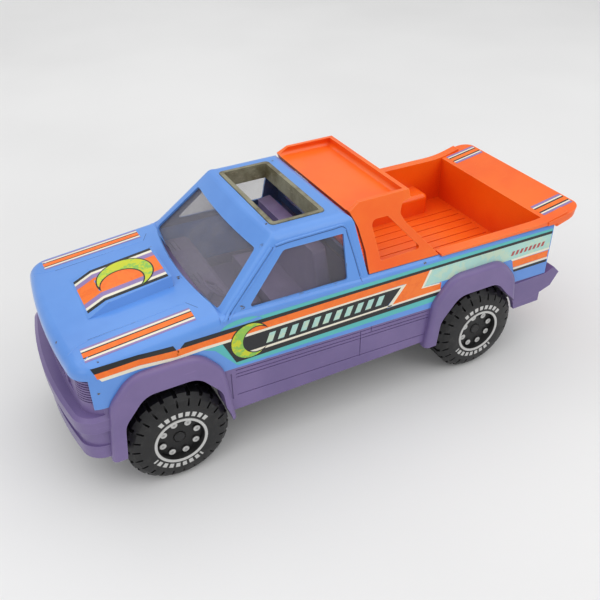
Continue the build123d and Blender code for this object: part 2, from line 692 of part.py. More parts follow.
with BuildPart() as roll_bar:
    # one closed frustum in line with the cab, then hollowed to leave two legs and the tray
    for z in (LEG_FOOT_Z, TRAY_TOP_Z):
        with BuildSketch(Plane.XY.offset(z)):
            with Locations((-24.0, 0)):
                Rectangle(50.0, 2 * leg_y(z))
    loft(ruled=True)
    with BuildSketch(side_plane(60.0)):
        with BuildLine():
            Polyline(
                (LEG_FOOT_X[0], rail_z(LEG_FOOT_X[0]) + RIM_LIFT + 0.1),
                (-6.6, 80.0),
                (-4.7, 90.0),
                (TRAY_FRONT_X - 1.4, 93.4),
                (TRAY_FRONT_X, 96.6),
                (-6.6, TRAY_TOP_Z + 0.1),
                (TRAY_REAR_X, TRAY_TOP_Z + 0.1),
                (TRAY_REAR_X - 0.3, 96.2),
                (-26.0, 95.0),
                (-24.4, 91.2),
                (-26.6, 87.0),
                (LEG_FOOT_X[1], rail_z(LEG_FOOT_X[1]) + RIM_LIFT + 0.1),
                close=True,
            )
        make_face()
        concave = vertices().filter_by(lambda v: -28.0 < v.X < -23.5)
        fillet(concave, radius=2.0)
    extrude(amount=120.0, mode=Mode.INTERSECT)
    # hollow between the legs
    for z in (LEG_FOOT_Z - 1.0, 93.6):
        with BuildSketch(Plane.XY.offset(z)):
            with Locations((-24.0, 0)):
                Rectangle(60.0, 2 * (leg_y(z) - LEG_THICK))
    loft(ruled=True, mode=Mode.SUBTRACT)
    # tray pocket, open at the front
    for z in (TRAY_FLOOR_Z, TRAY_TOP_Z + 1.0):
        with BuildSketch(Plane.XY.offset(z)):
            with Locations(((TRAY_REAR_X + LEG_THICK + 10.0) / 2, 0)):
                Rectangle(10.0 - TRAY_REAR_X - LEG_THICK, 2 * (30.4 - 0.2 * (z - TRAY_FLOOR_Z)))
    loft(ruled=True, mode=Mode.SUBTRACT)
    tray_floor_edges = roll_bar.edges().filter_by(Plane.XY).filter_by(
        lambda e: abs(e.center().Z - TRAY_FLOOR_Z) < 0.01
    )
    fillet(tray_floor_edges.filter_by(lambda e: e.center().X < TRAY_FRONT_X - 1.0), radius=1.6)
    # leg windows
    with BuildSketch(side_plane(60.0)):
        with BuildLine():
            Polyline(
                (-13.0, 74.6),
                (-10.6, 91.6),
                (-18.6, 91.4),
                (-33.0, 74.9),
                close=True,
            )
        make_face()
        fillet(vertices().group_by(Axis.Y)[-1], radius=2.4)
        fillet(vertices().sort_by(Axis.Y)[:2], radius=1.0)
    extrude(amount=120.0, mode=Mode.SUBTRACT)

save(roll_bar, "roll_bar")

# ---------------------------------------------------------------- cab glazing

GLASS = 1.0
GLASS_GAP = 0.1  # the clear moulding sits just inside the steel

glass_outer = upper_solid(STEEL + GLASS_GAP)
glass_inner = upper_solid(STEEL + GLASS_GAP + GLASS)

with BuildPart() as cab_glazing:
    add(glass_outer)
    add(glass_inner, mode=Mode.SUBTRACT)
    # only the cab above the belt
    with BuildSketch(side_plane(60.0)):
        with BuildLine():
            Polyline(
                (-9.0, 69.2),
                (-9.0, 97.0),
                (36.0, 97.0),
                (62.4, 73.2),
                (59.0, 71.8),
                (55.0, 71.4),
                (54.0, 69.2),
                close=True,
            )
        make_face()
    extrude(amount=120.0, mode=Mode.INTERSECT)
    with BuildSketch(Plane.XY.offset(90.0)):
        with Locations((SUNROOF_MID_X, 0)):
            RectangleRounded(SUNROOF_LENGTH + 0.6, 2 * SUNROOF_HALF + 0.6, 2.3)
    extrude(amount=20.0, mode=Mode.SUBTRACT)

    # the hood's underside leaves nothing ahead of the windshield
    keep = cab_glazing.solids().sort_by(SortBy.VOLUME)[-1]
    add(keep, mode=Mode.REPLACE)

save(cab_glazing, "cab_glazing")

RIM_DEPTH = 6.4
RIM_WALL = 2.0
RIM_PROUD = 0.35

with BuildPart() as sunroof_rim:
    with BuildSketch(Plane.XY.offset(ROOF_Z + RIM_PROUD)):
        with Locations((SUNROOF_MID_X, 0)):
            RectangleRounded(SUNROOF_LENGTH - 0.2, 2 * SUNROOF_HALF - 0.2, 1.9)
    extrude(amount=-RIM_DEPTH)
    with BuildSketch(Plane.XY.offset(ROOF_Z + RIM_PROUD)):
        with Locations((SUNROOF_MID_X, 0)):
            RectangleRounded(SUNROOF_LENGTH - 2 * RIM_WALL, 2 * (SUNROOF_HALF - RIM_WALL), 1.0)
    extrude(amount=-RIM_DEPTH, taper=6.0, mode=Mode.SUBTRACT)

save(sunroof_rim, "sunroof_rim")

# ---------------------------------------------------------------- cab interior

CAB_FLOOR_Z = 41.0
FLOOR_T = 1.6
TUB_HALF = 38.6
DASH_FOOT_Z = 51.0  # the dashboard stands on the tub's front wall

with BuildPart() as interior_tub:
    with BuildSketch(side_plane(TUB_HALF)):
        with BuildLine():
            Polyline(
                (-7.8, CAB_FLOOR_Z),
                (-7.8, 69.0),
                (-6.4, 69.0),
                (-6.4, CAB_FLOOR_Z + FLOOR_T),
                (50.0, CAB_FLOOR_Z + FLOOR_T),
                (52.4, DASH_FOOT_Z),
                (53.8, DASH_FOOT_Z),
                (51.4, CAB_FLOOR_Z),
                close=True,
            )
        make_face()
    extrude(amount=2 * TUB_HALF)
    # transmission hump
    with BuildSketch(cross_plane(26.0)):
        with BuildLine():
            foot = Line((-7.0, CAB_FLOOR_Z + 1.0), (-5.0, 47.0))
            crown = ThreePointArc(foot @ 1, (0, 48.6), (5.0, 47.0))
            Polyline(crown @ 1, (7.0, CAB_FLOOR_Z + 1.0), foot @ 0)
        make_face()
    extrude(amount=24.4)
    for x, y in SCREW_PLACES:
        if x > 0:
            with BuildSketch(Plane.XY.offset(FRAME_TOP_Z + 0.1)):
                with Locations((x, y)):
                    Circle(BOSS_R)
                    Circle(SCREW_R + 0.02, mode=Mode.SUBTRACT)
            extrude(amount=CAB_FLOOR_Z - FRAME_TOP_Z)

save(interior_tub, "interior_tub")

DASH_HALF = 36.5
DASH_TOP_Z = 64.8
DASH_REAR_X = 42.4
WHEEL_CENTRE = (50.4, 16.4, 68.6)
RIM_R = 4.9
COLUMN_R = 0.9
COLUMN_TILT = 50.0
column_axis = Vector(cos(radians(COLUMN_TILT)), 0, -sin(radians(COLUMN_TILT)))
steering_plane = Plane(origin=WHEEL_CENTRE, x_dir=(0, 1, 0), z_dir=column_axis)

with BuildPart() as dashboard:
    with BuildSketch(side_plane(DASH_HALF)):
        with BuildLine():
            Polyline(
                (60.0, DASH_FOOT_Z),
                (60.0, DASH_TOP_Z),
                (DASH_REAR_X + 2.2, DASH_TOP_Z - 0.8),
                (DASH_REAR_X, DASH_TOP_Z - 2.4),
                (DASH_REAR_X + 1.2, 58.0),
                (50.0, 55.0),
                (51.0, DASH_FOOT_Z),
                close=True,
            )
        make_face()
    extrude(amount=2 * DASH_HALF)
    across = dashboard.edges().filter_by(Axis.Y)
    rear_top = across.filter_by(lambda e: e.center().X < DASH_REAR_X + 3 and e.center().Z > 62)
    fillet(rear_top, radius=0.9)
    # instrument hood ahead of the driver, glove box and centre panel lines
    with BuildSketch(side_plane(WHEEL_CENTRE[1] + 7.5)):
        with BuildLine():
            Polyline((53.4, 63.6), (55.0, 67.4), (58.4, 68.0), (58.4, 63.6), close=True)
        make_face()
        fillet(vertices().filter_by(lambda v: v.Z > 66), radius=0.8)
    extrude(amount=15.0)
    with BuildSketch(cross_plane(DASH_REAR_X - 1.0)):
        with Locations((-21.0, 60.8)):
            Rectangle(21.0, 4.0)
            Rectangle(20.2, 3.2, mode=Mode.SUBTRACT)
        with Locations((0.0, 60.8)):
            Rectangle(11.0, 4.0)
            Rectangle(10.2, 3.2, mode=Mode.SUBTRACT)
    extrude(amount=2.6, mode=Mode.SUBTRACT)
    with BuildSketch(Plane.XY.offset(DASH_TOP_Z - 1.2)):
        with Locations(*[(x, y) for y in (-30.0, 0.0) for x in (50.5, 52.5, 54.5)]):
            Rectangle(0.6, 9.0)
    extrude(amount=3.0, mode=Mode.SUBTRACT)
    # socket for the steering column
    with BuildSketch(steering_plane):
        Circle(COLUMN_R + 0.05)
    extrude(amount=8.1, mode=Mode.SUBTRACT)

save(dashboard, "dashboard")

with BuildPart() as steering_wheel:
    with BuildSketch(steering_plane) as rim_path:
        Circle(RIM_R)
    rim_start = Plane(origin=rim_path.sketch.edges()[0] @ 0, z_dir=rim_path.sketch.edges()[0] % 0)
    with BuildSketch(rim_start):
        Circle(0.65)
    sweep(path=rim_path.sketch.edges()[0])
    with BuildSketch(steering_plane.offset(-0.5)):
        Circle(1.7)
        for angle in (90.0, 210.0, 330.0):
            with Locations((0.5 * RIM_R * cos(radians(angle)), 0.5 * RIM_R * sin(radians(angle)))):
                Rectangle(RIM_R, 1.1, rotation=angle)
    extrude(amount=1.0)
    with BuildSketch(steering_plane.offset(0.5)):
        Circle(COLUMN_R)
    extrude(amount=7.5)

save(steering_wheel, "steering_wheel")

SEAT_HALF = 27.0

with BuildPart() as bench_seat:
    with BuildSketch(side_plane(SEAT_HALF)):
        with BuildLine():
            Polyline(
                (-0.4, CAB_FLOOR_Z + FLOOR_T + 0.1),
                (25.0, CAB_FLOOR_Z + FLOOR_T + 0.1),
                (26.0, 54.0),
                (9.4, 52.6),
                (11.6, 79.4),
                (5.6, 80.2),
                close=True,
            )
        make_face()
        fillet(vertices().filter_by(lambda v: v.Z > 50), radius=2.2)
    extrude(amount=2 * SEAT_HALF)
    side_edges = bench_seat.faces().filter_by(Axis.Y).edges().filter_by(lambda e: e.center().Z > 50)
    fillet(side_edges, radius=1.6)

save(bench_seat, "bench_seat")

# ---------------------------------------------------------------- black underframe

FRAME_HALF = 37.6
WELL_WALL_Y = 24.0
WELL_FOOT_Z = 25.5
LIP_INNER_Y = HALF_WIDTH + 0.2 - FLARE_DEPTH
WELL_DEPTH = 10.4
FRONT_WELL_R = 24.0
REAR_WELL_R = 22.9
WELL_SHELL = 1.3
MOTOR_X = (-78.0, -27.6)
MOTOR_HALF = 9.6
BEARING_Y = 19.0
BEARING_T = 4.0
PAD_X = 20.0
PAD_LENGTH = 60.0
PAD_WIDTH = 22.0
PAD_DEPTH = 1.0

with BuildPart() as underframe:
    with BuildSketch(Plane.XY.offset(FRAME_TOP_Z - FRAME_T)):
        with Locations((-1.0, 0)):
            Rectangle(202.0, 2 * FRAME_HALF)
        for axle_x, well_r in ((FRONT_AXLE_X, FRONT_WELL_R), (REAR_AXLE_X, REAR_WELL_R)):
            for side in (1, -1):
                with Locations((axle_x, side * (WELL_WALL_Y + 10.0))):
                    Rectangle(2 * well_r, 20.0, mode=Mode.SUBTRACT)
                with Locations((axle_x + 4.0, side * (LIP_INNER_Y - 0.4 + 5.0))):
                    Rectangle(2 * well_r + 24.0, 10.0, mode=Mode.SUBTRACT)
        with Locations(((MOTOR_X[0] + MOTOR_X[1]) / 2, 0)):
            Rectangle(MOTOR_X[1] - MOTOR_X[0] + 0.4, 2 * MOTOR_HALF + 0.4, mode=Mode.SUBTRACT)
        with Locations(*SCREW_PLACES):
            Circle(SCREW_R + 0.15, mode=Mode.SUBTRACT)
    extrude(amount=FRAME_T)
    # raised pad that a display stand takes hold of
    with BuildSketch(Plane.XY.offset(FRAME_TOP_Z - FRAME_T)):
        with Locations((PAD_X, 0)):
            RectangleRounded(PAD_LENGTH, PAD_WIDTH, 4.0)
    extrude(amount=-PAD_DEPTH)
    # stiffening ribs
    with BuildSketch(Plane.XY.offset(FRAME_TOP_Z)):
        with Locations((18.0, 9.0), (18.0, -9.0)):
            Rectangle(74.0, 1.4)
        with Locations((20.0, 0)):
            Rectangle(1.4, 60.0)
    extrude(amount=4.0)
    # wheel wells
    for axle_x, well_r in ((FRONT_AXLE_X, FRONT_WELL_R), (REAR_AXLE_X, REAR_WELL_R)):
        for side in (1, -1):
            with BuildSketch(side_plane(side * (WELL_WALL_Y + WELL_DEPTH))):
                with Locations((axle_x, AXLE_Z)):
                    Circle(well_r + WELL_SHELL)
                    Circle(well_r, mode=Mode.SUBTRACT)
                with Locations((axle_x, WELL_FOOT_Z - 30.0)):
                    Rectangle(80.0, 60.0, mode=Mode.SUBTRACT)
            extrude(amount=side * WELL_DEPTH)
            with BuildSketch(side_plane(side * WELL_WALL_Y)):
                with Locations((axle_x, AXLE_Z)):
                    Circle(well_r + WELL_SHELL)
                with Locations((axle_x, FRAME_TOP_Z - FRAME_T - 30.0)):
                    Rectangle(80.0, 60.0, mode=Mode.SUBTRACT)
            extrude(amount=side * 1.4)
    # axle bearings hang under the plate
    for axle_x in (FRONT_AXLE_X, REAR_AXLE_X):
        for side in (1, -1):
            with BuildSketch(side_plane(side * BEARING_Y + BEARING_T / 2)):
                with BuildLine():
                    left = Line((axle_x - 6.0, FRAME_TOP_Z - 1.0), (axle_x - 4.0, AXLE_Z))
                    foot = ThreePointArc(left @ 1, (axle_x, AXLE_Z - 4.0), (axle_x + 4.0, AXLE_Z))
                    Polyline(foot @ 1, (axle_x + 6.0, FRAME_TOP_Z - 1.0), left @ 0)
                make_face()
                with Locations((axle_x, AXLE_Z)):
                    Circle(AXLE_R + RUNNING_CLEARANCE, mode=Mode.SUBTRACT)
            extrude(amount=BEARING_T)

save(underframe, "underframe")

with BuildPart() as frame_screws:
    with BuildSketch(Plane.XY.offset(FRAME_TOP_Z - FRAME_T - 1.7)):
        with Locations(*SCREW_PLACES):
            Circle(2.7)
    extrude(amount=1.7)
    head_rims = frame_screws.edges().group_by(Axis.Z)[0]
    fillet(head_rims, radius=0.9)
    with BuildSketch(Plane.XY.offset(FRAME_TOP_Z - FRAME_T)):
        with Locations(*SCREW_PLACES):
            Circle(SCREW_R)
    extrude(amount=9.5)
    with BuildSketch(Plane.XY.offset(FRAME_TOP_Z - FRAME_T - 1.8)):
        with Locations(*SCREW_PLACES):
            Rectangle(3.2, 0.7)
            Rectangle(0.7, 3.2)
    extrude(amount=1.0, mode=Mode.SUBTRACT)

save(frame_screws, "frame_screws")

# ---------------------------------------------------------------- axles and wheels

AXLE_HALF = 40.0
CAP_R = 2.5
CAP_CROWN = 0.9  # how far a cap covers the end of its axle


def build_axle(axle_x, name):
    """A plain steel rod through both wheels."""
    with BuildPart() as axle:
        with BuildSketch(side_plane(AXLE_HALF)):
            with Locations((axle_x, AXLE_Z)):
                Circle(AXLE_R)
        extrude(amount=2 * AXLE_HALF)
        chamfer(axle.edges().filter_by(GeomType.CIRCLE), length=0.3)
    save(axle, name)


def build_caps(axle_x, name):
    """The two push-on caps that hold the wheels on their axle."""
    with BuildPart() as caps:
        for side in (1, -1):
            with BuildSketch(side_plane(side * (AXLE_HALF + CAP_CROWN))):
                with Locations((axle_x, AXLE_Z)):
                    Circle(CAP_R)
            extrude(amount=side * (AXLE_HALF + CAP_CROWN - WHEEL_FACE_Y + HUB_FACE))
            dome = caps.faces().sort_by(Axis.Y)[-1 if side > 0 else 0]
            fillet(dome.edges(), radius=0.7)
            with BuildSketch(side_plane(side * AXLE_HALF)):
                with Locations((axle_x, AXLE_Z)):
                    Circle(AXLE_R)
            extrude(amount=side * 3.0, mode=Mode.SUBTRACT)
    save(caps, name)


RING_OUTER_R = 11.0
RING_INNER_R = 9.8
BOLT_CIRCLE_R = 7.45
BOLT_R = 1.45
BOLT_COUNT = 8
HUB_FACE = 2.9  # depth of the hub face below the ring
LUG_COUNT = 24
LUG_DEPTH = 1.1
LUG_GAP = 1.7
WHEEL_WALL = 2.4
TREAD_ROW = 7.4  # width of one row of tread blocks


def at(depth):
    """Place across the truck of a depth measured inwards from a left wheel's outer face."""
    return WHEEL_FACE_Y - depth


# a left wheel on an axle through the origin: a hollow-backed moulding with tread, ring and bolt heads
with BuildPart(mode=Mode.PRIVATE) as wheel_blank:
    # section: x is radius, y is across the truck
    with BuildSketch(Plane.XY):
        with BuildLine():
            hub = Polyline(
                (AXLE_R, at(HUB_FACE)),
                (2.8, at(HUB_FACE)),
                (2.8, at(HUB_FACE - 0.2)),
                (RING_INNER_R - 0.5, at(HUB_FACE - 0.2)),
                (RING_INNER_R, at(0.3)),
                (RING_INNER_R + 0.2, at(0.0)),
                (RING_OUTER_R, at(0.0)),
                (RING_OUTER_R + 0.1, at(0.4)),
            )
            sidewall = ThreePointArc(hub @ 1, (15.6, at(0.55)), (18.8, at(1.5)))
            Polyline(
                sidewall @ 1,
                (TYRE_R, at(3.6)),
                (TYRE_R, at(WHEEL_WIDTH - 2.0)),
                (18.8, at(WHEEL_WIDTH)),
                (TYRE_R - LUG_DEPTH - WHEEL_WALL, at(WHEEL_WIDTH)),
                (TYRE_R - LUG_DEPTH - WHEEL_WALL, at(5.0)),
                (12.0, at(HUB_FACE + 2.0)),
                (4.2, at(HUB_FACE + 2.0)),
                (4.2, at(WHEEL_WIDTH - 1.0)),
                (AXLE_R, at(WHEEL_WIDTH - 1.0)),
                hub @ 0,
            )
        make_face()
    revolve(axis=Axis.Y)
    # tread grooves: two staggered rows that run out over the shoulders
    for row, start in ((0, 1.0), (1, WHEEL_WIDTH - TREAD_ROW - 0.2)):
        with BuildSketch(side_plane(at(start))):
            with PolarLocations(TYRE_R, LUG_COUNT, start_angle=row * 180.0 / LUG_COUNT):
                Rectangle(2 * LUG_DEPTH, LUG_GAP)
        extrude(amount=TREAD_ROW, mode=Mode.SUBTRACT)
    # shallow shoulder notches in line with the outer row
    with BuildSketch(side_plane(at(-1.0))):
        with PolarLocations(19.0, LUG_COUNT):
            Rectangle(5.0, 0.9)
    extrude(amount=3.2, mode=Mode.SUBTRACT)
    # bolt heads on the hub face
    with BuildSketch(side_plane(at(HUB_FACE - 0.9))):
        with PolarLocations(BOLT_CIRCLE_R, BOLT_COUNT):
            Circle(BOLT_R)
    extrude(amount=1.0)

for axle_x, end, phase in ((FRONT_AXLE_X, "front", 77.0), (REAR_AXLE_X, "rear", 73.0)):
    build_axle(axle_x, f"{end}_axle")
    build_caps(axle_x, f"{end}_axle_caps")
    turned = wheel_blank.part.moved(Location((axle_x, 0, AXLE_Z), (0, -phase, 0)))
    with BuildPart() as left_wheel:
        add(turned)
    save(left_wheel, f"{end}_left_wheel")
    with BuildPart() as right_wheel:
        add(turned)
        mirror(about=Plane.XZ, mode=Mode.REPLACE)
    save(right_wheel, f"{end}_right_wheel")

# ---------------------------------------------------------------- pull-back motor

GEAR_MODULE = 0.7
PRESSURE_ANGLE = 25.0
ADDENDUM = 0.8
DEDENDUM = 1.15
BACKLASH = 0.16
AXLE_PINION_TEETH = 12
IDLER_WHEEL_TEETH = 24
IDLER_PINION_TEETH = 10
DRUM_TEETH = 32
PIN_R = 1.0

axle_to_idler = GEAR_MODULE * (AXLE_PINION_TEETH + IDLER_WHEEL_TEETH) / 2
idler_to_drum = GEAR_MODULE * (IDLER_PINION_TEETH + DRUM_TEETH) / 2
IDLER_X = REAR_AXLE_X + 11.0
IDLER_Z = AXLE_Z + sqrt(axle_to_idler**2 - 11.0**2)
DRUM_X = IDLER_X + 14.2
DRUM_Z = IDLER_Z - sqrt(idler_to_drum**2 - 14.2**2)


def involute_angle(pressure):
    """The involute function of a pressure angle, both in radians."""
    return tan(pressure) - pressure


def gear_outline(teeth, phase, bore_r):
    """Involute spur gear about the sketch origin, with the middle of one tooth at the phase angle."""
    pitch_r = GEAR_MODULE * teeth / 2
    base_r = pitch_r * cos(radians(PRESSURE_ANGLE))
    tip_r = pitch_r + ADDENDUM * GEAR_MODULE
    root_r = pitch_r - DEDENDUM * GEAR_MODULE
    half_tooth = (pi / 2 * GEAR_MODULE - BACKLASH) / (2 * pitch_r)
    flank_start = max(base_r, root_r)

    def flank_angle(r):
        """Angle from the tooth's middle to its flank at radius r."""
        pressure = atan2(sqrt(max(r * r - base_r * base_r, 0.0)), base_r)
        return half_tooth + involute_angle(radians(PRESSURE_ANGLE)) - involute_angle(pressure)

    def point(r, angle):
        return (r * cos(angle), r * sin(angle))

    with BuildSketch(Plane.XY, mode=Mode.PRIVATE) as gear:
        with BuildLine():
            for k in range(teeth):
                middle = radians(phase) + 2 * pi * k / teeth
                after = middle + 2 * pi / teeth
                radii = [flank_start + (tip_r - flank_start) * n / 3 for n in range(4)]
                foot = flank_angle(flank_start)
                rising = [point(r, middle - flank_angle(r)) for r in radii]
                falling = [point(r, middle + flank_angle(r)) for r in reversed(radii)]
                if root_r < flank_start:
                    Line(point(root_r, middle - foot), rising[0])
                Spline(*rising)
                ThreePointArc(rising[-1], point(tip_r, middle), falling[0])
                Spline(*falling)
                if root_r < flank_start:
                    Line(falling[-1], point(root_r, middle + foot))
                root_start = point(min(root_r, flank_start), middle + foot)
                root_end = point(min(root_r, flank_start), after - foot)
                ThreePointArc(root_start, point(root_r, (middle + after) / 2), root_end)
        make_face()
        Circle(bore_r, mode=Mode.SUBTRACT)
    return gear.sketch


to_idler = degrees(atan2(IDLER_Z - AXLE_Z, IDLER_X - REAR_AXLE_X))
to_drum = degrees(atan2(DRUM_Z - IDLER_Z, DRUM_X - IDLER_X))

with BuildPart() as axle_pinion:
    with BuildSketch(side_plane(7.4)):
        with Locations((REAR_AXLE_X, AXLE_Z)):
            add(gear_outline(AXLE_PINION_TEETH, to_idler, AXLE_R))
    extrude(amount=4.9)

save(axle_pinion, "axle_pinion")

with BuildPart() as idler_gear:
    with BuildSketch(side_plane(6.4)):
        with Locations((IDLER_X, IDLER_Z)):
            phase = to_idler + 180.0 + 180.0 / IDLER_WHEEL_TEETH
            add(gear_outline(IDLER_WHEEL_TEETH, phase, PIN_R + RUNNING_CLEARANCE))
    extrude(amount=3.0)
    with BuildSketch(side_plane(3.4)):
        with Locations((IDLER_X, IDLER_Z)):
            add(gear_outline(IDLER_PINION_TEETH, to_drum, PIN_R + RUNNING_CLEARANCE))
    extrude(amount=5.4)

save(idler_gear, "idler_gear")

CUP_R = 9.8
CUP_WALL = 0.8
CUP_END_Y = -7.6

with BuildPart() as spring_drum:
    with BuildSketch(side_plane(1.6)):
        with Locations((DRUM_X, DRUM_Z)):
            phase = to_drum + 180.0 + 180.0 / DRUM_TEETH
            add(gear_outline(DRUM_TEETH, phase, PIN_R + RUNNING_CLEARANCE))
    extrude(amount=3.0)
    with BuildSketch(side_plane(-1.4)):
        with Locations((DRUM_X, DRUM_Z)):
            Circle(CUP_R)
            Circle(CUP_R - CUP_WALL, mode=Mode.SUBTRACT)
            Circle(2.2)
            Circle(PIN_R + RUNNING_CLEARANCE, mode=Mode.SUBTRACT)
    extrude(amount=-1.4 - CUP_END_Y)
    with BuildSketch(side_plane(7.9)):
        with Locations((DRUM_X, DRUM_Z)):
            Circle(2.2)
            Circle(PIN_R + RUNNING_CLEARANCE, mode=Mode.SUBTRACT)
    extrude(amount=6.3)

save(spring_drum, "spring_drum")

SPRING_STRIP = 0.35
SPRING_TURNS = 5
SPRING_STEPS = 12  # points on each turn


def spiral_points(shift):
    """Points of one face of the spring strip."""
    points = []
    total = SPRING_TURNS * SPRING_STEPS
    for n in range(total + 1):
        turn = 2 * pi * n / SPRING_STEPS
        r = 2.8 + (8.5 - 2.8) * n / total + shift
        points.append((r * cos(turn), r * sin(turn)))
    return points


with BuildPart() as mainspring:
    with BuildSketch(side_plane(-2.2)):
        with Locations((DRUM_X, DRUM_Z)):
            with BuildSketch(Plane.XY, mode=Mode.PRIVATE) as strip:
                with BuildLine():
                    inside = Spline(*spiral_points(-SPRING_STRIP / 2))
                    outside = Spline(*spiral_points(SPRING_STRIP / 2))
                    Line(inside @ 0, outside @ 0)
                    Line(inside @ 1, outside @ 1)
                make_face()
            add(strip.sketch)
    extrude(amount=4.8)

save(mainspring, "mainspring")

CASE_WALL = 1.3
CASE_LOW_Z = 10.0
CASE_HIGH_Z = 38.2
FLANGE_Z = FRAME_TOP_Z - FRAME_T - 1.8


def motor_outline(shrink):
    """Side outline of the motor case."""
    low, high = CASE_LOW_Z + shrink, CASE_HIGH_Z - shrink
    with BuildSketch(Plane.XY, mode=Mode.PRIVATE) as outline:
        with BuildLine():
            Polyline(
                (MOTOR_X[0] + shrink, AXLE_Z - 6.0 + shrink),
                (MOTOR_X[0] + shrink, high - 6.0),
                (MOTOR_X[0] + 8.0, high),
                (MOTOR_X[1] - 8.0, high),
                (MOTOR_X[1] - shrink, high - 6.0),
                (MOTOR_X[1] - shrink, low + 6.0),
                (MOTOR_X[1] - 7.0, low),
                (DRUM_X - 8.0, low),
                close=True,
            )
        make_face()
        fillet(vertices(), radius=1.5)
    return outline.sketch


def build_case_half(side, name):
    """One half of the motor case, open at the middle."""
    shaft_places = ((REAR_AXLE_X, AXLE_Z, AXLE_R), (IDLER_X, IDLER_Z, PIN_R), (DRUM_X, DRUM_Z, PIN_R))
    with BuildPart() as half:
        with BuildSketch(side_plane(side * MOTOR_HALF)):
            add(motor_outline(0.0))
        extrude(amount=side * (MOTOR_HALF - 0.02))
        with BuildSketch(side_plane(side * (MOTOR_HALF - CASE_WALL))):
            add(motor_outline(CASE_WALL))
        extrude(amount=side * MOTOR_HALF, mode=Mode.SUBTRACT)
        with BuildSketch(side_plane(side * (MOTOR_HALF + 1.0))):
            for x, z, shaft_r in shaft_places:
                with Locations((x, z)):
                    Circle(shaft_r + RUNNING_CLEARANCE)
        extrude(amount=side * 4.0, mode=Mode.SUBTRACT)
        # screw ears under the frame plate
        ear_y = side * (MOTOR_HALF + 3.0)
        with BuildSketch(Plane.XY.offset(FLANGE_Z)):
            with Locations(*[(x, ear_y) for x in (-34.0, -74.0)]):
                Rectangle(7.0, 6.2)
        extrude(amount=1.6)
        with BuildSketch(Plane.XY.offset(FLANGE_Z - 1.0)):
            with Locations(*[(x, side * (MOTOR_HALF + 3.2)) for x in (-34.0, -74.0)]):
                Circle(1.2)
        extrude(amount=4.0, mode=Mode.SUBTRACT)
    save(half, name)


build_case_half(1, "motor_case_left")
build_case_half(-1, "motor_case_right")

for name, x, z in (("idler_pin", IDLER_X, IDLER_Z), ("drum_pin", DRUM_X, DRUM_Z)):
    with BuildPart() as pin:
        with BuildSketch(side_plane(MOTOR_HALF)):
            with Locations((x, z)):
                Circle(PIN_R)
        extrude(amount=2 * MOTOR_HALF)
    save(pin, name)

print(len(finished), "pieces")
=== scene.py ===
"""Looks for the toy pickup truck: materials, printed stickers, body lines, floor, lights and camera.

Everything is in the truck's own frame: +X forward, +Y to its left, +Z up, in metres. The truck's
sizes are written in millimetres and turned into metres by MM. The studio's are in metres.
"""

import json
from math import atan2, cos, pi, radians, sin, sqrt

import bmesh
import bpy
from mathutils import Matrix, Vector
from mathutils.bvhtree import BVHTree


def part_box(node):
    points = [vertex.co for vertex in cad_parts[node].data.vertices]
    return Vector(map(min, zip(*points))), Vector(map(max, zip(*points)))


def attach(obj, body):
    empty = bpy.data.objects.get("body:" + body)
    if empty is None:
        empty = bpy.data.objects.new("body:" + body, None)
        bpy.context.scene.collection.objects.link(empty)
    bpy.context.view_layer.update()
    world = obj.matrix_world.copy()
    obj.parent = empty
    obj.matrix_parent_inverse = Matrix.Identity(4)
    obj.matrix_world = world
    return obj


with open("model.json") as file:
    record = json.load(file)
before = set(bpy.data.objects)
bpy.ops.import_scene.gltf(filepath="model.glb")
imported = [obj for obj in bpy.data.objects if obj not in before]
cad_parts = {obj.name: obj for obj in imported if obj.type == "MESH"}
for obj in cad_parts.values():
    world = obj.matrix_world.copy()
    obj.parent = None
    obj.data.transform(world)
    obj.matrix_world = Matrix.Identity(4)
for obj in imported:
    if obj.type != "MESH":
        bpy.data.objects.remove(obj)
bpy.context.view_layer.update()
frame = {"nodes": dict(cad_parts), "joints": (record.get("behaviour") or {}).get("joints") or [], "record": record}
MM = 0.001


# ---------------------------------------------------------------- colours


def linear(red, green, blue):
    """Linear colour from 0-255 display values."""
    out = []
    for value in (red, green, blue):
        value /= 255.0
        out.append(value / 12.92 if value <= 0.04045 else ((value + 0.055) / 1.055) ** 2.4)
    return (*out, 1.0)


BLUE = linear(96, 152, 230)
BLUE_DEEP = linear(84, 140, 220)
BLUE_WORN = linear(122, 172, 240)
# painted shade in the enamel's recesses
BLUE_RECESS_SHADE = linear(36, 68, 120)
# painted shadow in the grooves of the steel
BLUE_GAP_SHADOW = linear(44, 78, 132)
PRIMER = linear(112, 104, 78)
PRIMER_DARK = linear(70, 58, 44)
PURPLE = linear(122, 104, 154)
PURPLE_DEEP = linear(108, 92, 142)
PURPLE_PALE = linear(142, 124, 176)
ORANGE = linear(255, 112, 18)
ORANGE_DEEP = linear(250, 96, 8)
ORANGE_PALE = linear(255, 140, 60)
# painted shade: the fuller orange of the shaded bed
ORANGE_PAINTED_SHADE = linear(226, 60, 4)
TYRE = linear(19, 19, 20)
TYRE_PALE = linear(30, 30, 32)
TYRE_RUBBED = linear(84, 84, 86)
TYRE_DUST = linear(104, 100, 96)
HUB_BLACK = linear(16, 16, 17)
HOT_SILVER = linear(205, 205, 203)
SILVER_DULL = linear(140, 140, 140)
# the glazing's grey: smoky tint and painted reflection
SMOKE_AND_REFLECTION = linear(132, 130, 138)
RIM_GREY = linear(141, 139, 117)
RIM_DARK = linear(92, 84, 58)
RIM_RUBBED = linear(180, 176, 152)
STEEL = linear(200, 200, 204)
STEEL_STREAK = linear(120, 120, 124)
STEEL_DULL = linear(116, 104, 90)
SPRING_BLUE = linear(120, 132, 150)
PAPER = linear(238, 238, 238)
PAPER_SHADE = linear(231, 231, 231)

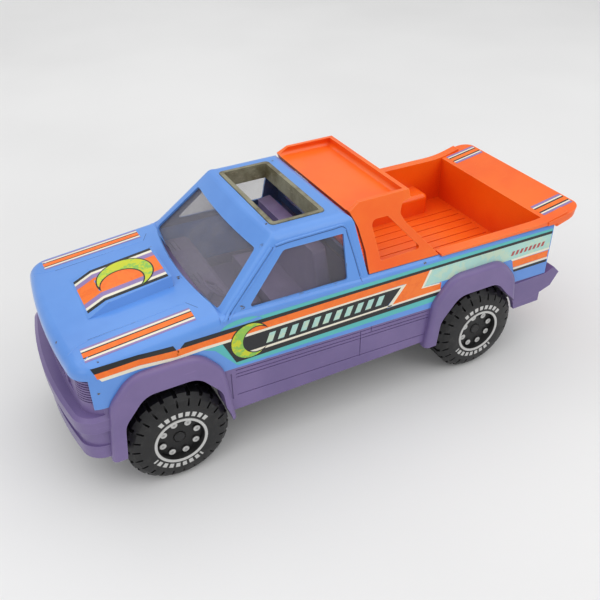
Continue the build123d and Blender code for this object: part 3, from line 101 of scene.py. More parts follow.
# plain plastics: colour, deeper colour, paler worn colour
INTERIOR = (linear(160, 142, 182), linear(128, 110, 154), linear(184, 170, 202))
BLACK = (linear(30, 30, 32), linear(20, 20, 22), linear(60, 60, 62))
NYLON = (linear(44, 44, 47), linear(32, 32, 35), linear(74, 74, 76))
ACETAL = (linear(226, 222, 208), linear(212, 206, 188), linear(240, 238, 230))
CAPS = (linear(22, 22, 23), linear(14, 14, 15), linear(46, 46, 48))

# printed colours
INK_BLACK = linear(26, 28, 30)
INK_WHITE = linear(238, 232, 212)
INK_ORANGE = linear(255, 122, 28)
INK_ORANGE_DEEP = linear(250, 112, 22)
INK_PURPLE = linear(146, 124, 178)
INK_TEAL = linear(88, 188, 186)
INK_PALE_TEAL = linear(172, 216, 206)
INK_PALE_GREEN = linear(196, 220, 196)
INK_YELLOW = linear(206, 212, 40)
INK_GREEN = linear(136, 196, 84)
INK_RED = linear(176, 74, 74)
PAPER_SPECK = linear(190, 180, 160)


# ---------------------------------------------------------------- material helpers

SOFT_SAMPLES = 6  # rays for the edge and corner masks
CHIP_CORE = 0.35  # the part of a knock's radius where it is felt in full
CHIP_GROW = 0.21  # how much a knock adds to the ragged noise
CHIP_FROM, CHIP_TO = 0.70, 0.73  # where that sum turns from paint to bare steel
SHADE_REACH = 34.0 * MM  # how far a wall reaches for the painted shade on a plastic


class Graph:
    """A material's node tree with short names for the nodes used here."""

    def __init__(self, name):
        self.material = bpy.data.materials.new(name)
        self.material.use_nodes = True
        self.tree = self.material.node_tree
        self.tree.nodes.clear()
        self.shader = self.node("BsdfPrincipled")
        self.node("OutputMaterial", Surface=self.shader)
        self.place = self.node("TexCoord").outputs["Object"]

    def node(self, kind, settings=None, **inputs):
        """Add one node; an input's spaces are written as underscores."""
        made = self.tree.nodes.new("ShaderNode" + kind)
        for key, value in (settings or {}).items():
            setattr(made, key, value)
        for key, value in inputs.items():
            self.feed(made.inputs[key.replace("_", " ")], value)
        return made

    def feed(self, socket, value):
        """Link a node or socket, or write a plain value."""
        if isinstance(value, bpy.types.Node):
            value = value.outputs[0]
        if isinstance(value, bpy.types.NodeSocket):
            self.tree.links.new(value, socket)
        else:
            socket.default_value = value

    def set(self, **inputs):
        """Give the surface shader its colours, roughness and so on."""
        for key, value in inputs.items():
            self.feed(self.shader.inputs[key.replace("_", " ")], value)

    def math(self, operation, first, second=0.0, third=0.0, clamp=False):
        """One arithmetic step on up to three values."""
        made = self.tree.nodes.new("ShaderNodeMath")
        made.operation = operation
        made.use_clamp = clamp
        for socket, value in zip(made.inputs, (first, second, third)):
            self.feed(socket, value)
        return made.outputs[0]

    def times(self, first, second):
        """The product of two values."""
        return self.math("MULTIPLY", first, second)

    def noise(self, scale, detail=3.0, rough=0.5, stretch=None):
        """Even noise in the truck's own frame; scale counts its features per metre."""
        place = self.place
        if stretch:
            place = self.node("Mapping", Vector=place, Scale=stretch).outputs[0]
        made = self.node("TexNoise", Vector=place, Scale=scale, Detail=detail, Roughness=rough)
        return made.outputs["Fac"]

    def window(self, value, low, high):
        """0 below low, 1 above high, smooth between."""
        made = self.tree.nodes.new("ShaderNodeMapRange")
        made.interpolation_type = "SMOOTHSTEP"
        self.feed(made.inputs["Value"], value)
        made.inputs["From Min"].default_value = low
        made.inputs["From Max"].default_value = high
        return made.outputs[0]

    def scaled(self, value, low, high):
        """A 0-1 value spread over low to high."""
        made = self.tree.nodes.new("ShaderNodeMapRange")
        self.feed(made.inputs["Value"], value)
        made.inputs["To Min"].default_value = low
        made.inputs["To Max"].default_value = high
        return made.outputs[0]

    def blend(self, share, first, second):
        """Two colours mixed; share is how much of the second shows."""
        made = self.tree.nodes.new("ShaderNodeMix")
        made.data_type = "RGBA"
        self.feed(made.inputs[0], share)
        self.feed(made.inputs[6], first)
        self.feed(made.inputs[7], second)
        return made.outputs[2]

    def bump(self, height, strength, distance, under=None):
        """Relief from a height, on top of the relief under it."""
        made = self.node("Bump", Height=height, Strength=strength, Distance=distance)
        if under is not None:
            self.feed(made.inputs["Normal"], under)
        return made.outputs[0]

    def position(self):
        """The three object coordinates, in metres."""
        return self.node("SeparateXYZ", Vector=self.place).outputs

    def near(self, point, radius):
        """1 close to a point, falling to 0 at the radius around it; point and radius in metres."""
        away = self.node("VectorMath", {"operation": "DISTANCE"})
        self.feed(away.inputs[0], self.place)
        away.inputs[1].default_value = point
        return self.window(away.outputs["Value"], radius, radius * CHIP_CORE)

    def edges(self, radius):
        """1 on sharp outside and inside edges, 0 on flat places."""
        soft = self.node("Bevel", {"samples": SOFT_SAMPLES}, Radius=radius)
        flat = self.node("NewGeometry").outputs["Normal"]
        dot = self.node("VectorMath", {"operation": "DOT_PRODUCT"})
        self.feed(dot.inputs[0], soft)
        self.feed(dot.inputs[1], flat)
        return self.window(dot.outputs["Value"], 0.985, 0.90)

    def recess(self, distance):
        """1 deep in corners and grooves, 0 in the open."""
        shade = self.node("AmbientOcclusion", {"samples": SOFT_SAMPLES}, Distance=distance)
        return self.window(shade.outputs["AO"], 0.75, 0.25)


def plastic(name, colours, roughness, grain, dust_and_painted_light=0.25, coat=0.0, scuff=0.35, painted_shade_colour=None):
    """Moulded plastic: slightly uneven colour, fine skin texture, scuffs, and painted shade in its corners.

    painted_shade_colour is a fuller colour painted in as shade where walls stand close, as deep in the bed.
    """
    g = Graph(name)
    colour, deep, pale = colours
    cloudy = g.window(g.noise(28.0, 4.0, 0.55), 0.35, 0.68)
    base = g.blend(cloudy, colour, deep)
    scratch = g.window(g.noise(90.0, 6.0, 0.7, (1.0, 3.2, 6.0)), 0.60, 0.74)
    crossed = g.window(g.noise(260.0, 5.0, 0.7, (5.0, 1.0, 1.6)), 0.62, 0.78)
    worn = g.times(g.math("MAXIMUM", scratch, crossed), scuff)
    edge = g.times(g.edges(0.5 * MM), 0.55)
    base = g.blend(worn, base, pale)
    base = g.blend(edge, base, pale)
    # painted shade: places close under walls, as deep in the bed, turn to the fuller colour
    if painted_shade_colour:
        base = g.blend(g.times(g.recess(SHADE_REACH), 0.85), base, painted_shade_colour)
    # painted shade: corners and grooves darken to the deeper colour
    corner = g.times(g.recess(3.0 * MM), dust_and_painted_light)
    base = g.blend(corner, base, deep)
    g.set(Base_Color=base)
    shine = g.scaled(g.noise(60.0, 5.0, 0.6), roughness - 0.07, roughness + 0.09)
    shine = g.math("ADD", shine, g.times(worn, 0.25), clamp=True)
    g.set(Roughness=shine)
    skin = g.bump(g.noise(900.0, 3.0, 0.6), grain, 0.04 * MM)
    wave = g.bump(g.noise(45.0, 2.0, 0.4), 0.25, 0.25 * MM, skin)
    g.set(Normal=wave)
    g.shader.inputs["Coat Weight"].default_value = coat
    g.shader.inputs["Coat Roughness"].default_value = 0.12
    return g.material


# where the paint is knocked off: place and radius in millimetres
CHIPS = (
    ((36.4, 31.6, 92.6), 1.9),
    ((36.6, -31.6, 92.6), 1.2),
    ((48.5, 39.9, 73.5), 1.8),
    ((62.6, 9.6, 73.4), 2.0),
    ((103.5, 38.8, 68.0), 1.5),
    ((3.6, 33.2, 92.6), 1.1),
    ((113.6, 20.0, 67.6), 1.2),
    ((106.0, 41.6, 57.0), 1.1),
    ((-104.4, 41.0, 66.6), 1.5),
    ((-103.8, -41.0, 66.6), 1.6),
    ((3.5, -26.0, 96.0), 1.2),
    ((30.2, 24.0, 96.0), 1.2),
    ((-33.5, 41.6, 69.2), 1.2),
)


def enamel():
    """Baked blue enamel on steel, with chips down to primer at knocks and edges, and painted shade in its
    recesses.
    """
    g = Graph("blue_enamel")
    cloudy = g.window(g.noise(16.0, 4.0, 0.6), 0.36, 0.66)
    base = g.blend(cloudy, BLUE, BLUE_DEEP)
    rub = g.window(g.noise(120.0, 6.0, 0.75, (1.0, 2.4, 4.0)), 0.62, 0.8)
    base = g.blend(g.times(rub, 0.3), base, BLUE_WORN)
    edge = g.edges(0.55 * MM)
    spotty = g.noise(210.0, 5.0, 0.7)
    base = g.blend(g.times(edge, 0.45), base, BLUE_WORN)
    chip = g.times(g.window(edge, 0.45, 0.75), g.window(spotty, 0.595, 0.625))
    ragged = g.noise(800.0, 6.0, 0.75)
    for point, size in CHIPS:
        spot = g.near(tuple(MM * p for p in point), size * MM)
        grown = g.math("MULTIPLY_ADD", spot, CHIP_GROW, ragged)
        chip = g.math("MAXIMUM", chip, g.window(grown, CHIP_FROM, CHIP_TO))
    bare = g.blend(g.window(g.noise(900.0, 3.0), 0.4, 0.6), PRIMER, PRIMER_DARK)
    base = g.blend(chip, base, bare)
    # painted shade: recesses darken to a deeper blue
    recess_shade = g.times(g.recess(2.4 * MM), 0.35)
    base = g.blend(recess_shade, base, BLUE_RECESS_SHADE)
    g.set(Base_Color=base)
    shine = g.scaled(g.noise(70.0, 5.0, 0.6), 0.24, 0.38)
    shine = g.math("MAXIMUM", shine, g.times(chip, 0.7))
    g.set(Roughness=shine)
    peel = g.bump(g.noise(420.0, 2.0, 0.5), 0.12, 0.05 * MM)
    dents = g.bump(g.noise(26.0, 2.0, 0.4), 0.22, 0.5 * MM, peel)
    sunk = g.bump(g.math("SUBTRACT", 1.0, chip), 0.8, 0.12 * MM, dents)
    g.set(Normal=sunk)
    g.shader.inputs["Coat Weight"].default_value = 0.35
    g.shader.inputs["Coat Roughness"].default_value = 0.1
    return g.material


def glazing():
    """Clear styrene, slightly smoky, with fine scratches, a dusty haze, and a light grey cover that is partly a
    painted reflection.
    """
    g = Graph("clear_glazing")
    scratch = g.window(g.noise(150.0, 6.0, 0.8, (1.0, 4.0, 2.2)), 0.60, 0.74)
    smear = g.window(g.noise(34.0, 4.0, 0.6), 0.42, 0.72)
    g.set(Base_Color=SMOKE_AND_REFLECTION)
    haze = g.math("ADD", g.times(scratch, 0.05), g.times(smear, 0.08))
    g.set(Roughness=g.math("ADD", 0.08, haze))
    g.set(Normal=g.bump(g.noise(40.0, 2.0), 0.06, 0.2 * MM))
    # the dusty haze and the painted reflection lie thicker on a pane that slopes
    facing = g.node("SeparateXYZ", Vector=g.node("NewGeometry").outputs["Normal"]).outputs["Z"]
    dust_and_painted_light = g.times(g.window(facing, 0.25, 0.65), g.scaled(smear, 0.14, 0.26))
    # painted reflection: the grey cover lightens what is seen through the panes, most on those that face up
    cover = g.math("ADD", g.times(haze, 1.1), g.math("ADD", dust_and_painted_light, 0.22), clamp=True)
    g.set(Alpha=cover)
    g.shader.inputs["IOR"].default_value = 1.5
    return g.material


def aged_rim():
    """The thick scuffed edge of the clear moulding."""
    g = Graph("aged_rim")
    blotch = g.window(g.noise(75.0, 5.0, 0.65), 0.36, 0.66)
    base = g.blend(blotch, RIM_GREY, RIM_DARK)
    rub = g.window(g.noise(300.0, 6.0, 0.7, (1.0, 1.0, 3.0)), 0.55, 0.72)
    base = g.blend(g.times(rub, 0.5), base, RIM_RUBBED)
    edge = g.times(g.edges(0.6 * MM), 0.5)
    base = g.blend(edge, base, RIM_DARK)
    g.set(Base_Color=base, Roughness=g.scaled(g.noise(110.0, 4.0), 0.35, 0.6))
    g.set(Normal=g.bump(g.noise(380.0, 5.0, 0.7), 0.5, 0.12 * MM))
    return g.material


def steel(name, colour, roughness):
    """Drawn or plated steel with fine lengthwise streaks and dull spots."""
    g = Graph(name)
    streak = g.noise(500.0, 4.0, 0.6, (1.0, 0.06, 1.0))
    dull = g.window(g.noise(160.0, 5.0, 0.6), 0.5, 0.7)
    base = g.blend(g.scaled(streak, 0.0, 0.5), colour, STEEL_STREAK)
    base = g.blend(g.times(dull, 0.5), base, STEEL_DULL)
    g.set(Base_Color=base, Metallic=1.0)
    g.set(Roughness=g.math("MULTIPLY_ADD", dull, 0.25, roughness))
    g.set(Normal=g.bump(streak, 0.2, 0.03 * MM))
    return g.material


# the wheel's silver and its sidewall, in millimetres: radii from the axle, faces from the truck's middle
RING_INNER, RING_OUTER, RING_FACE = 9.85, 11.05, 42.4
BOLT_COUNT, BOLT_CIRCLE, BOLT_R, BOLT_FACE = 8, 7.45, 1.4, 40.7
DIMPLE_R = 0.5
HUB_R = 9.65
SIDEWALL_FACE = 37.5
MARK_INNER, MARK_OUTER = 12.0, 14.1
# the same marks round the axle, in radians from the wheel's phase
MARK_START, MARK_STEP, MARK_HALF = 0.1, 0.215, 0.067
ARC_START, ARC_HALF = 0.45, 0.85


def wheel_masks(g, axle, phase):
    """Where a wheel's silver, bolt dimples and dark hub lie, from the axle's (x, z) in metres."""
    x, y, z = (g.position()[i] for i in range(3))
    dx = g.math("SUBTRACT", x, axle[0])
    dz = g.math("SUBTRACT", z, axle[1])
    radius = g.math("SQRT", g.math("ADD", g.times(dx, dx), g.times(dz, dz)))
    angle = g.math("ARCTAN2", dz, dx)

    def inside(value, limit, soft, unit=MM):
        """1 where a value is under its limit."""
        return g.window(value, (limit + soft) * unit, (limit - soft) * unit)

    def outboard(face):
        """1 from a face of the wheel outwards."""
        return g.window(g.math("ABSOLUTE", y), (face - 0.1) * MM, (face + 0.1) * MM)

    def band(low, high, soft=0.08):
        """1 between two radii."""
        rise = g.window(radius, (low - soft) * MM, (low + soft) * MM)
        return g.times(rise, inside(radius, high, soft))

    def turned_from(step, start):
        """Angle round the axle from the nearest of evenly spaced places."""
        return g.math("WRAP", g.math("SUBTRACT", angle, start), step / 2, -step / 2)

    sidewall = outboard(SIDEWALL_FACE)
    ring = g.times(band(RING_INNER, RING_OUTER), outboard(RING_FACE))
    turn = turned_from(2 * pi / BOLT_COUNT, phase)
    along = g.math("SUBTRACT", g.times(radius, g.math("COSINE", turn)), BOLT_CIRCLE * MM)
    across = g.times(radius, g.math("SINE", turn))
    from_bolt = g.math("SQRT", g.math("ADD", g.times(along, along), g.times(across, across)))
    bolt = g.times(inside(from_bolt, BOLT_R, 0.1), outboard(BOLT_FACE))
    dimple = inside(from_bolt, DIMPLE_R, 0.15)
    # plain blocks in two arcs on the sidewall
    in_arc = inside(g.math("ABSOLUTE", turned_from(pi, phase + ARC_START)), ARC_HALF, 0.01, 1.0)
    from_mark = g.math("ABSOLUTE", turned_from(MARK_STEP, phase + MARK_START))
    in_mark = inside(from_mark, MARK_HALF, 0.005, 1.0)
    marks = g.times(g.times(in_arc, in_mark), band(MARK_INNER, MARK_OUTER))
    marks = g.times(marks, sidewall)
    silver = g.math("MAXIMUM", ring, g.math("MAXIMUM", bolt, marks))
    return silver, dimple, g.times(inside(radius, HUB_R, 0.15), sidewall)


def tyre(name, axle, phase):
    """Black wheel moulding with a silver ring, silver bolt heads and plain sidewall marks."""
    g = Graph(name)
    silver, dimple, hub = wheel_masks(g, axle, phase)
    foil = g.times(silver, g.window(g.noise(700.0, 5.0, 0.7), 0.26, 0.36))
    mottled = g.window(g.noise(70.0, 5.0, 0.6), 0.4, 0.7)
    base = g.blend(g.times(mottled, 0.45), TYRE, TYRE_PALE)
    base = g.blend(g.times(g.edges(0.5 * MM), 0.25), base, TYRE_RUBBED)
    dusty = g.times(g.window(g.noise(240.0, 5.0, 0.7), 0.5, 0.75), 0.14)
    base = g.blend(dusty, base, TYRE_DUST)
    base = g.blend(g.times(hub, 0.6), base, HUB_BLACK)
    stamped = g.blend(g.times(dimple, 0.55), HOT_SILVER, SILVER_DULL)
    g.set(Base_Color=g.blend(foil, base, stamped))
    g.set(Metallic=g.times(foil, 0.25))
    g.set(Roughness=g.scaled(g.noise(90.0, 4.0, 0.6), 0.38, 0.58))
    skin = g.bump(g.noise(800.0, 3.0, 0.6), 0.2, 0.05 * MM)
    g.set(Normal=g.bump(dimple, 0.5, 0.3 * MM, skin))
    return g.material


def ink(name, colour, second=None):
    """Printed label stock: flat ink with a paper tooth, faint yellowing and rubbed places."""
    g = Graph(name)
    base = colour
    if second:
        base = g.blend(g.window(g.noise(230.0, 5.0, 0.75), 0.48, 0.56), colour, second)
    faded = g.window(g.noise(42.0, 4.0, 0.6), 0.4, 0.75)
    pale = tuple(min(1.0, c * 1.2 + 0.008) for c in colour[:3]) + (1.0,)
    base = g.blend(g.times(faded, 0.4), base, pale)
    speck = g.window(g.noise(520.0, 4.0, 0.7), 0.70, 0.78)
    base = g.blend(g.times(speck, 0.4), base, PAPER_SPECK)
    g.set(Base_Color=base, Roughness=g.scaled(g.noise(120.0, 4.0), 0.30, 0.48))
    g.set(Normal=g.bump(g.noise(700.0, 3.0, 0.6), 0.12, 0.05 * MM))
    return g.material


# ---------------------------------------------------------------- materials on the CAD nodes

blue = enamel()

SLOT_FINISH = {
    "blue_steel": blue,
    "purple_plastic": plastic(
        "purple_plastic", (PURPLE, PURPLE_DEEP, PURPLE_PALE), 0.36, 0.2, coat=0.12
    ),
    "orange_plastic": plastic(
        "orange_plastic", (ORANGE, ORANGE_DEEP, ORANGE_PALE), 0.34, 0.18, coat=0.15, scuff=0.25,
        # the bed's deep places get a painted shade colour
        painted_shade_colour=ORANGE_PAINTED_SHADE,
    ),
    "clear_plastic": glazing(),
    "aged_clear_plastic": aged_rim(),
    "interior_plastic": plastic("interior_plastic", INTERIOR, 0.42, 0.08, dust_and_painted_light=0.4),
    "black_plastic": plastic("black_plastic", BLACK, 0.45, 0.3),
    "bright_steel": steel("bright_steel", STEEL, 0.28),
    "spring_steel": steel("spring_steel", SPRING_BLUE, 0.34),
    "motor_plastic": plastic("motor_plastic", NYLON, 0.45, 0.3),
    "gear_plastic": plastic("gear_plastic", ACETAL, 0.35, 0.15),
    "cap_plastic": plastic("cap_plastic", CAPS, 0.3, 0.2),
}

# how far each pair of wheels is turned, which its bolts and marks follow
WHEEL_PHASE = {"front": radians(77.0), "rear": radians(73.0)}
joint_place = {joint["name"]: joint["pos_m"] for joint in frame["joints"]}
wheel_finish = {}
for end, phase in WHEEL_PHASE.items():
    axle_x, _, axle_z = joint_place[f"{end}_axle_spin"]
    wheel_finish[end] = tyre(f"{end}_tyre", (axle_x, axle_z), phase)

for entry in frame["record"]["subparts"]:
    node = frame["nodes"][entry["node"]]
    if entry["material_slot"] == "tyre_plastic":
        finish = wheel_finish[entry["node"].split("_")[0]]
    else:
        finish = SLOT_FINISH[entry["material_slot"]]
    node.data.materials.clear()
    node.data.materials.append(finish)

# ---------------------------------------------------------------- sheets and prints

SIDE_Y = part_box("body_shell")[1].y  # the blue side
LIFT = 0.05 * MM  # a print on layer n stands n of these over the steel, so a higher layer covers a lower
EDGE_LIFT = 0.2  # the part of a layer that its underside floats above the steel
ROLL_DEPTH = 5.0 * MM  # how far inwards a side print can follow the steel
ABOVE = 200.0 * MM  # well over the roof
TOP_STEP = 2.0  # millimetres between the cuts of a print laid from above
DOWN = Vector((0, 0, -1))
ALONG_X, ALONG_Y, ALONG_Z = Vector((1, 0, 0)), Vector((0, 1, 0)), Vector((0, 0, 1))
# where side prints are cut finely, because the steel rolls over: (direction, first, step, count)
SIDE_CUTS = (
    (ALONG_Z, 63.0, 0.6, 14),
    (ALONG_X, 60.0, 1.6, 30),
    (ALONG_X, -96.0, -1.5, 6),
)

inks = {
    "black": ink("ink_black", INK_BLACK),
    "white": ink("ink_white", INK_WHITE),
    "orange": ink("ink_orange", INK_ORANGE, INK_ORANGE_DEEP),
    "purple": ink("ink_purple", INK_PURPLE),
    "teal": ink("ink_teal", INK_TEAL),
    "pale": ink("ink_pale_teal", INK_PALE_TEAL, INK_PALE_GREEN),
    "yellow": ink("ink_yellow", INK_YELLOW, INK_GREEN),
    "red": ink("ink_red", INK_RED),
}


def linked(name, data):
    """A new object of the scene."""
    made = bpy.data.objects.new(name, data)
    bpy.context.scene.collection.objects.link(made)
    return made


def riding(name, data, material):
    """A finished mesh or curve as a piece that rides on the body."""
    piece = linked(name, data)
    data.materials.append(material)
    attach(piece, "body")
    return piece


def caster(node):
    """A tree that rays can be cast at, for one CAD node."""
    mesh = bmesh.new()
    mesh.from_mesh(frame["nodes"][node].data)
    tree = BVHTree.FromBMesh(mesh)
    mesh.free()
    return tree


def flat_face(mesh, corners):
    """One flat face; its true normal is set, so that an outline with hollows triangulates well."""
    mesh.faces.new([mesh.verts.new(corner) for corner in corners]).normal_update()


def cut(mesh, normal, at):
    """Cut every face along a plane; at is in millimetres along the normal."""
    geometry = mesh.verts[:] + mesh.edges[:] + mesh.faces[:]
    bmesh.ops.bisect_plane(mesh, geom=geometry, plane_co=normal * at * MM, plane_no=normal)


def printed(name, mesh, colour, layer, inwards):
    """Give a laid sheet its thickness towards the steel, and its ink."""
    made = bmesh.ops.extrude_face_region(mesh, geom=mesh.faces[:])
    moved = [v for v in made["geom"] if isinstance(v, bmesh.types.BMVert)]
    bmesh.ops.translate(mesh, verts=moved, vec=inwards * LIFT * (layer - EDGE_LIFT))
    bmesh.ops.recalc_face_normals(mesh, faces=mesh.faces)
    data = bpy.data.meshes.new(name)
    mesh.to_mesh(data)
    mesh.free()
    return riding(name, data, inks[colour])


def side_print(name, side, layer, colour, outlines):
    """Printed shapes laid on one side of the truck; outlines are lists of (x, z) in millimetres."""
    mesh = bmesh.new()
    for outline in outlines:
        flat_face(mesh, [(px * MM, side * SIDE_Y, pz * MM) for px, pz in outline])
    for direction, first, step, count in SIDE_CUTS:
        for n in range(count):
            cut(mesh, direction, first + n * step)
    bmesh.ops.triangulate(mesh, faces=mesh.faces[:])
    inwards = Vector((0, -side, 0))
    for vert in mesh.verts:
        start = Vector((vert.co.x, side * 2 * SIDE_Y, vert.co.z))
        found, normal = shell_tree.ray_cast(start, inwards)[:2]
        if found is not None and abs(found.y) > SIDE_Y - ROLL_DEPTH:
            outward = normal if normal.y * side > 0 else -normal
            vert.co = found + outward * LIFT * layer
        else:
            # over a wheel arch, behind the flare, there is no steel to lie on
            vert.co.y = side * (SIDE_Y + LIFT * layer)
    return printed(name, mesh, colour, layer, inwards)


def top_print(name, tree, colour, outline, layer):
    """A printed shape laid on a surface from above; the outline is a list of (x, y) in millimetres."""
    mesh = bmesh.new()
    flat_face(mesh, [(px * MM, py * MM, ABOVE) for px, py in outline])
    for axis, direction in enumerate((ALONG_X, ALONG_Y)):
        low = min(point[axis] for point in outline)
        high = max(point[axis] for point in outline)
        count = int((high - low) / TOP_STEP)
        for n in range(1, count + 1):
            cut(mesh, direction, low + n * (high - low) / (count + 1))
    bmesh.ops.triangulate(mesh, faces=mesh.faces[:])
    for vert in mesh.verts:
        found = tree.ray_cast(vert.co, DOWN)[0]
        if found is None:
            raise RuntimeError(f"{name} hangs off the surface at {vert.co}")
        vert.co = found - DOWN * LIFT * layer
    return printed(name, mesh, colour, layer, DOWN)


# ---------------------------------------------------------------- outlines


def bars(count, x_front, pitch, width, low, high, lean):
    """A row of slanted bars running rearwards."""
    row = []
    for n in range(count):
        x = x_front - n * pitch
        row.append([(x, low), (x - lean, high), (x - lean - width, high), (x - width, low)])
    return row


def arc(centre, radii, start, end, steps=24):
    """Points of an elliptical arc; angles in degrees."""
    points = []
    for n in range(steps + 1):
        a = radians(start + (end - start) * n / steps)
        points.append((centre[0] + radii[0] * cos(a), centre[1] + radii[1] * sin(a)))
    return points


def crescent(centre, outer_r, inner_r, shift, turn, grow=0.0, steps=28):
    """A plain crescent moon: a circle less a smaller one, which is moved by shift towards turn degrees."""
    big, small = outer_r + grow, inner_r - grow
    # where the two circles cross, seen from the outer centre
    reach = (shift * shift + big * big - small * small) / (2 * shift)
    height = sqrt(max(big * big - reach * reach, 0.01))
    half = atan2(height, reach)
    inner_half = atan2(height, reach - shift)
    points = []
    for n in range(steps + 1):
        a = half + (2 * pi - 2 * half) * n / steps
        points.append((big * cos(a), big * sin(a)))
    for n in range(1, steps):
        a = -inner_half + (2 * inner_half - 2 * pi) * n / steps
        points.append((shift + small * cos(a), small * sin(a)))
    c, s = cos(radians(turn)), sin(radians(turn))
    return [(centre[0] + px * c - py * s, centre[1] + px * s + py * c) for px, py in points]


# ---------------------------------------------------------------- side label, in (x, z) millimetres

REAR_X = -104.2  # the label's rear end
ARCH_X = -43.0  # where its lower parts go under the rear flare
TOP_LINE = ((72.6, 67.2), (50.0, 67.0), (0.0, 66.3), (-50.0, 65.6), (REAR_X, 64.7))
TOP_LINE_LOW = ((REAR_X, 63.3), (-50.0, 64.3), (0.0, 65.0), (50.0, 65.2), (74.6, 65.1))

# colour: (layer, outlines)
SIDE_LABEL = {
    "black": (2.0, (
        # front strip over the flare
        [(106.8, 67.4), (90.0, 67.9), (77.0, 67.3), (76.0, 65.0), (90.0, 66.2), (106.0, 65.6)],
        # the long strip
        [*TOP_LINE, *TOP_LINE_LOW],
        # the panel behind the bars
        [(58.4, 61.2), (53.4, 50.2), (-15.4, 50.1), (-15.4, 52.8), (-22.8, 61.2)],
        # low strips in front of and behind the rear flare
        [(-15.4, 50.1), (ARCH_X, 50.0), (ARCH_X, 51.8), (-15.4, 51.9)],
        [(-84.0, 49.8), (-104.0, 49.6), (-104.0, 48.3), (-84.5, 48.6)],
    )),
    "orange": (1.0, (
        [(106.0, 65.7), (90.0, 66.3), (76.0, 65.1), (75.0, 64.4), (76.0, 62.0), (90.0, 63.6), (105.4, 63.2)],
        # along the door, down a slanted leg and on to the flare
        [(75.6, 65.1), (50.0, 65.3), (0.0, 65.1), (-37.0, 64.6), (-33.0, 56.6), (ARCH_X, 56.3),
         (ARCH_X, 52.6), (-16.4, 52.6), (-23.6, 61.6), (0.0, 61.7), (50.0, 62.1), (76.0, 62.1)],
        [(-82.6, 54.8), (-104.0, 54.5), (-104.0, 51.0), (-83.6, 51.2)],
    )),
    "teal": (1.0, (
        # the bulge at the pillar and the line that runs rearwards from it
        [(42.0, 68.6), *arc((50.0, 66.6), (8.6, 3.4), 10, 170), (58.0, 67.0), *TOP_LINE[1:],
         (REAR_X, 66.0), (-50.0, 67.4), (0.0, 68.0)],
        # the border under the panel
        [(66.0, 61.0), (58.3, 61.0), (53.4, 50.2), (ARCH_X, 50.0), (ARCH_X, 47.2), (40.0, 48.2),
         (53.0, 48.6), (58.6, 55.6), (61.4, 59.0)],
    )),
    "pale": (1.0, (
        [(-37.4, 64.5), (-50.0, 64.3), (REAR_X, 63.3), (REAR_X, 56.0), (-82.0, 56.0), (-60.0, 56.0),
         (-33.6, 57.0)],
    )),
    "white": (3.0, (
        [(104.8, 63.2), (90.0, 63.5), (76.4, 62.0), (66.0, 62.5), (50.0, 62.1), (0.0, 61.7), (-24.6, 61.4),
         (-23.6, 60.6), (0.0, 60.9), (50.0, 61.0), (66.0, 61.2), (77.0, 60.8), (90.0, 62.0), (104.0, 61.8)],
        # fine lines round the panel, the leg and the pale field
        [(-22.4, 61.2), (-24.6, 61.4), (-17.6, 52.4), (-15.6, 52.4)],
        [(49.0, 53.7), (-16.0, 53.2), (-16.6, 52.4), (49.0, 52.6)],
        [(-15.8, 53.0), (ARCH_X, 52.8), (ARCH_X, 51.8), (-15.8, 52.2)],
        [(-36.2, 64.6), (-37.4, 64.6), (-33.9, 56.9), (-42.0, 56.4), (-42.0, 55.8), (-32.6, 56.4)],
        [(-81.6, 56.0), (REAR_X, 56.0), (REAR_X, 54.9), (-82.4, 55.0)],
        [(-83.6, 51.0), (REAR_X, 50.9), (REAR_X, 49.9), (-84.0, 50.0)],
    )),
}
PANEL_BARS = {
    "count": 11, "x_front": 40.5, "pitch": 5.0, "width": 2.7, "low": 54.9, "high": 59.3, "lean": 1.7,
}
REAR_DASHES = {
    "count": 8, "x_front": -81.0, "pitch": 2.5, "width": 1.4, "low": 58.0, "high": 60.2, "lean": 0.8,
}
SIDE_MOON = {"centre": (47.0, 58.6), "outer_r": 7.9, "inner_r": 6.3, "shift": 3.1, "turn": 185.0}


def side_label(side, hand):
    """The whole printed label of one side."""
    for colour, (layer, outlines) in SIDE_LABEL.items():
        side_print(f"side_{colour}_{hand}", side, layer, colour, outlines)
    side_print(f"side_bars_{hand}", side, 3.2, "pale", bars(**PANEL_BARS))
    side_print(f"side_dashes_{hand}", side, 2.2, "red", bars(**REAR_DASHES))
    side_print(f"side_crescent_edge_{hand}", side, 3.6, "black", [crescent(grow=0.45, **SIDE_MOON)])
    side_print(f"side_crescent_{hand}", side, 4.2, "yellow", [crescent(**SIDE_MOON)])


# ---------------------------------------------------------------- hood, spoiler and scoop labels

# (colour, width) from the outside in
HOOD_BANDS = (
    ("purple", 1.0), ("white", 1.1), ("black", 0.6), ("orange", 2.6), ("black", 0.6), ("white", 1.1),
    ("purple", 0.9),
)
SPOILER_BANDS = (
    ("purple", 1.4), ("white", 0.9), ("black", 0.9), ("orange", 2.6), ("black", 0.9), ("white", 0.9),
    ("purple", 1.5),
)
# (colour, share of the width) from the left
SCOOP_BANDS = (
    ("black", 1.8), ("white", 1.7), ("purple", 2.9), ("orange", 11.8), ("purple", 2.9), ("white", 1.7),
    ("black", 1.8),
)
HOOD_STRIPE_X, HOOD_STRIPE_Y = (107.6, 66.0), 37.8
SPOILER_STRIPE_X, SPOILER_STRIPE_Y = (-102.6, -119.2), 36.6
SCOOP_FRONT, SCOOP_BEND, SCOOP_REAR, SCOOP_HALF = 99.8, 92.5, 67.2, 11.9
SCOOP_MOON = {"centre": (81.5, 0.5), "outer_r": 11.0, "inner_r": 9.0, "shift": 4.4, "turn": 60.0}


def striped(name, tree, bands, x_range, y_outer, side):
    """One striped label, with its bands running front to rear."""
    front, rear = x_range
    y = y_outer
    for n, (colour, width) in enumerate(bands):
        inner = y - width
        outline = [(front, side * y), (rear, side * y), (rear, side * inner), (front, side * inner)]
        top_print(f"{name}_{n}_{colour}", tree, colour, outline, 1.6)
        y = inner


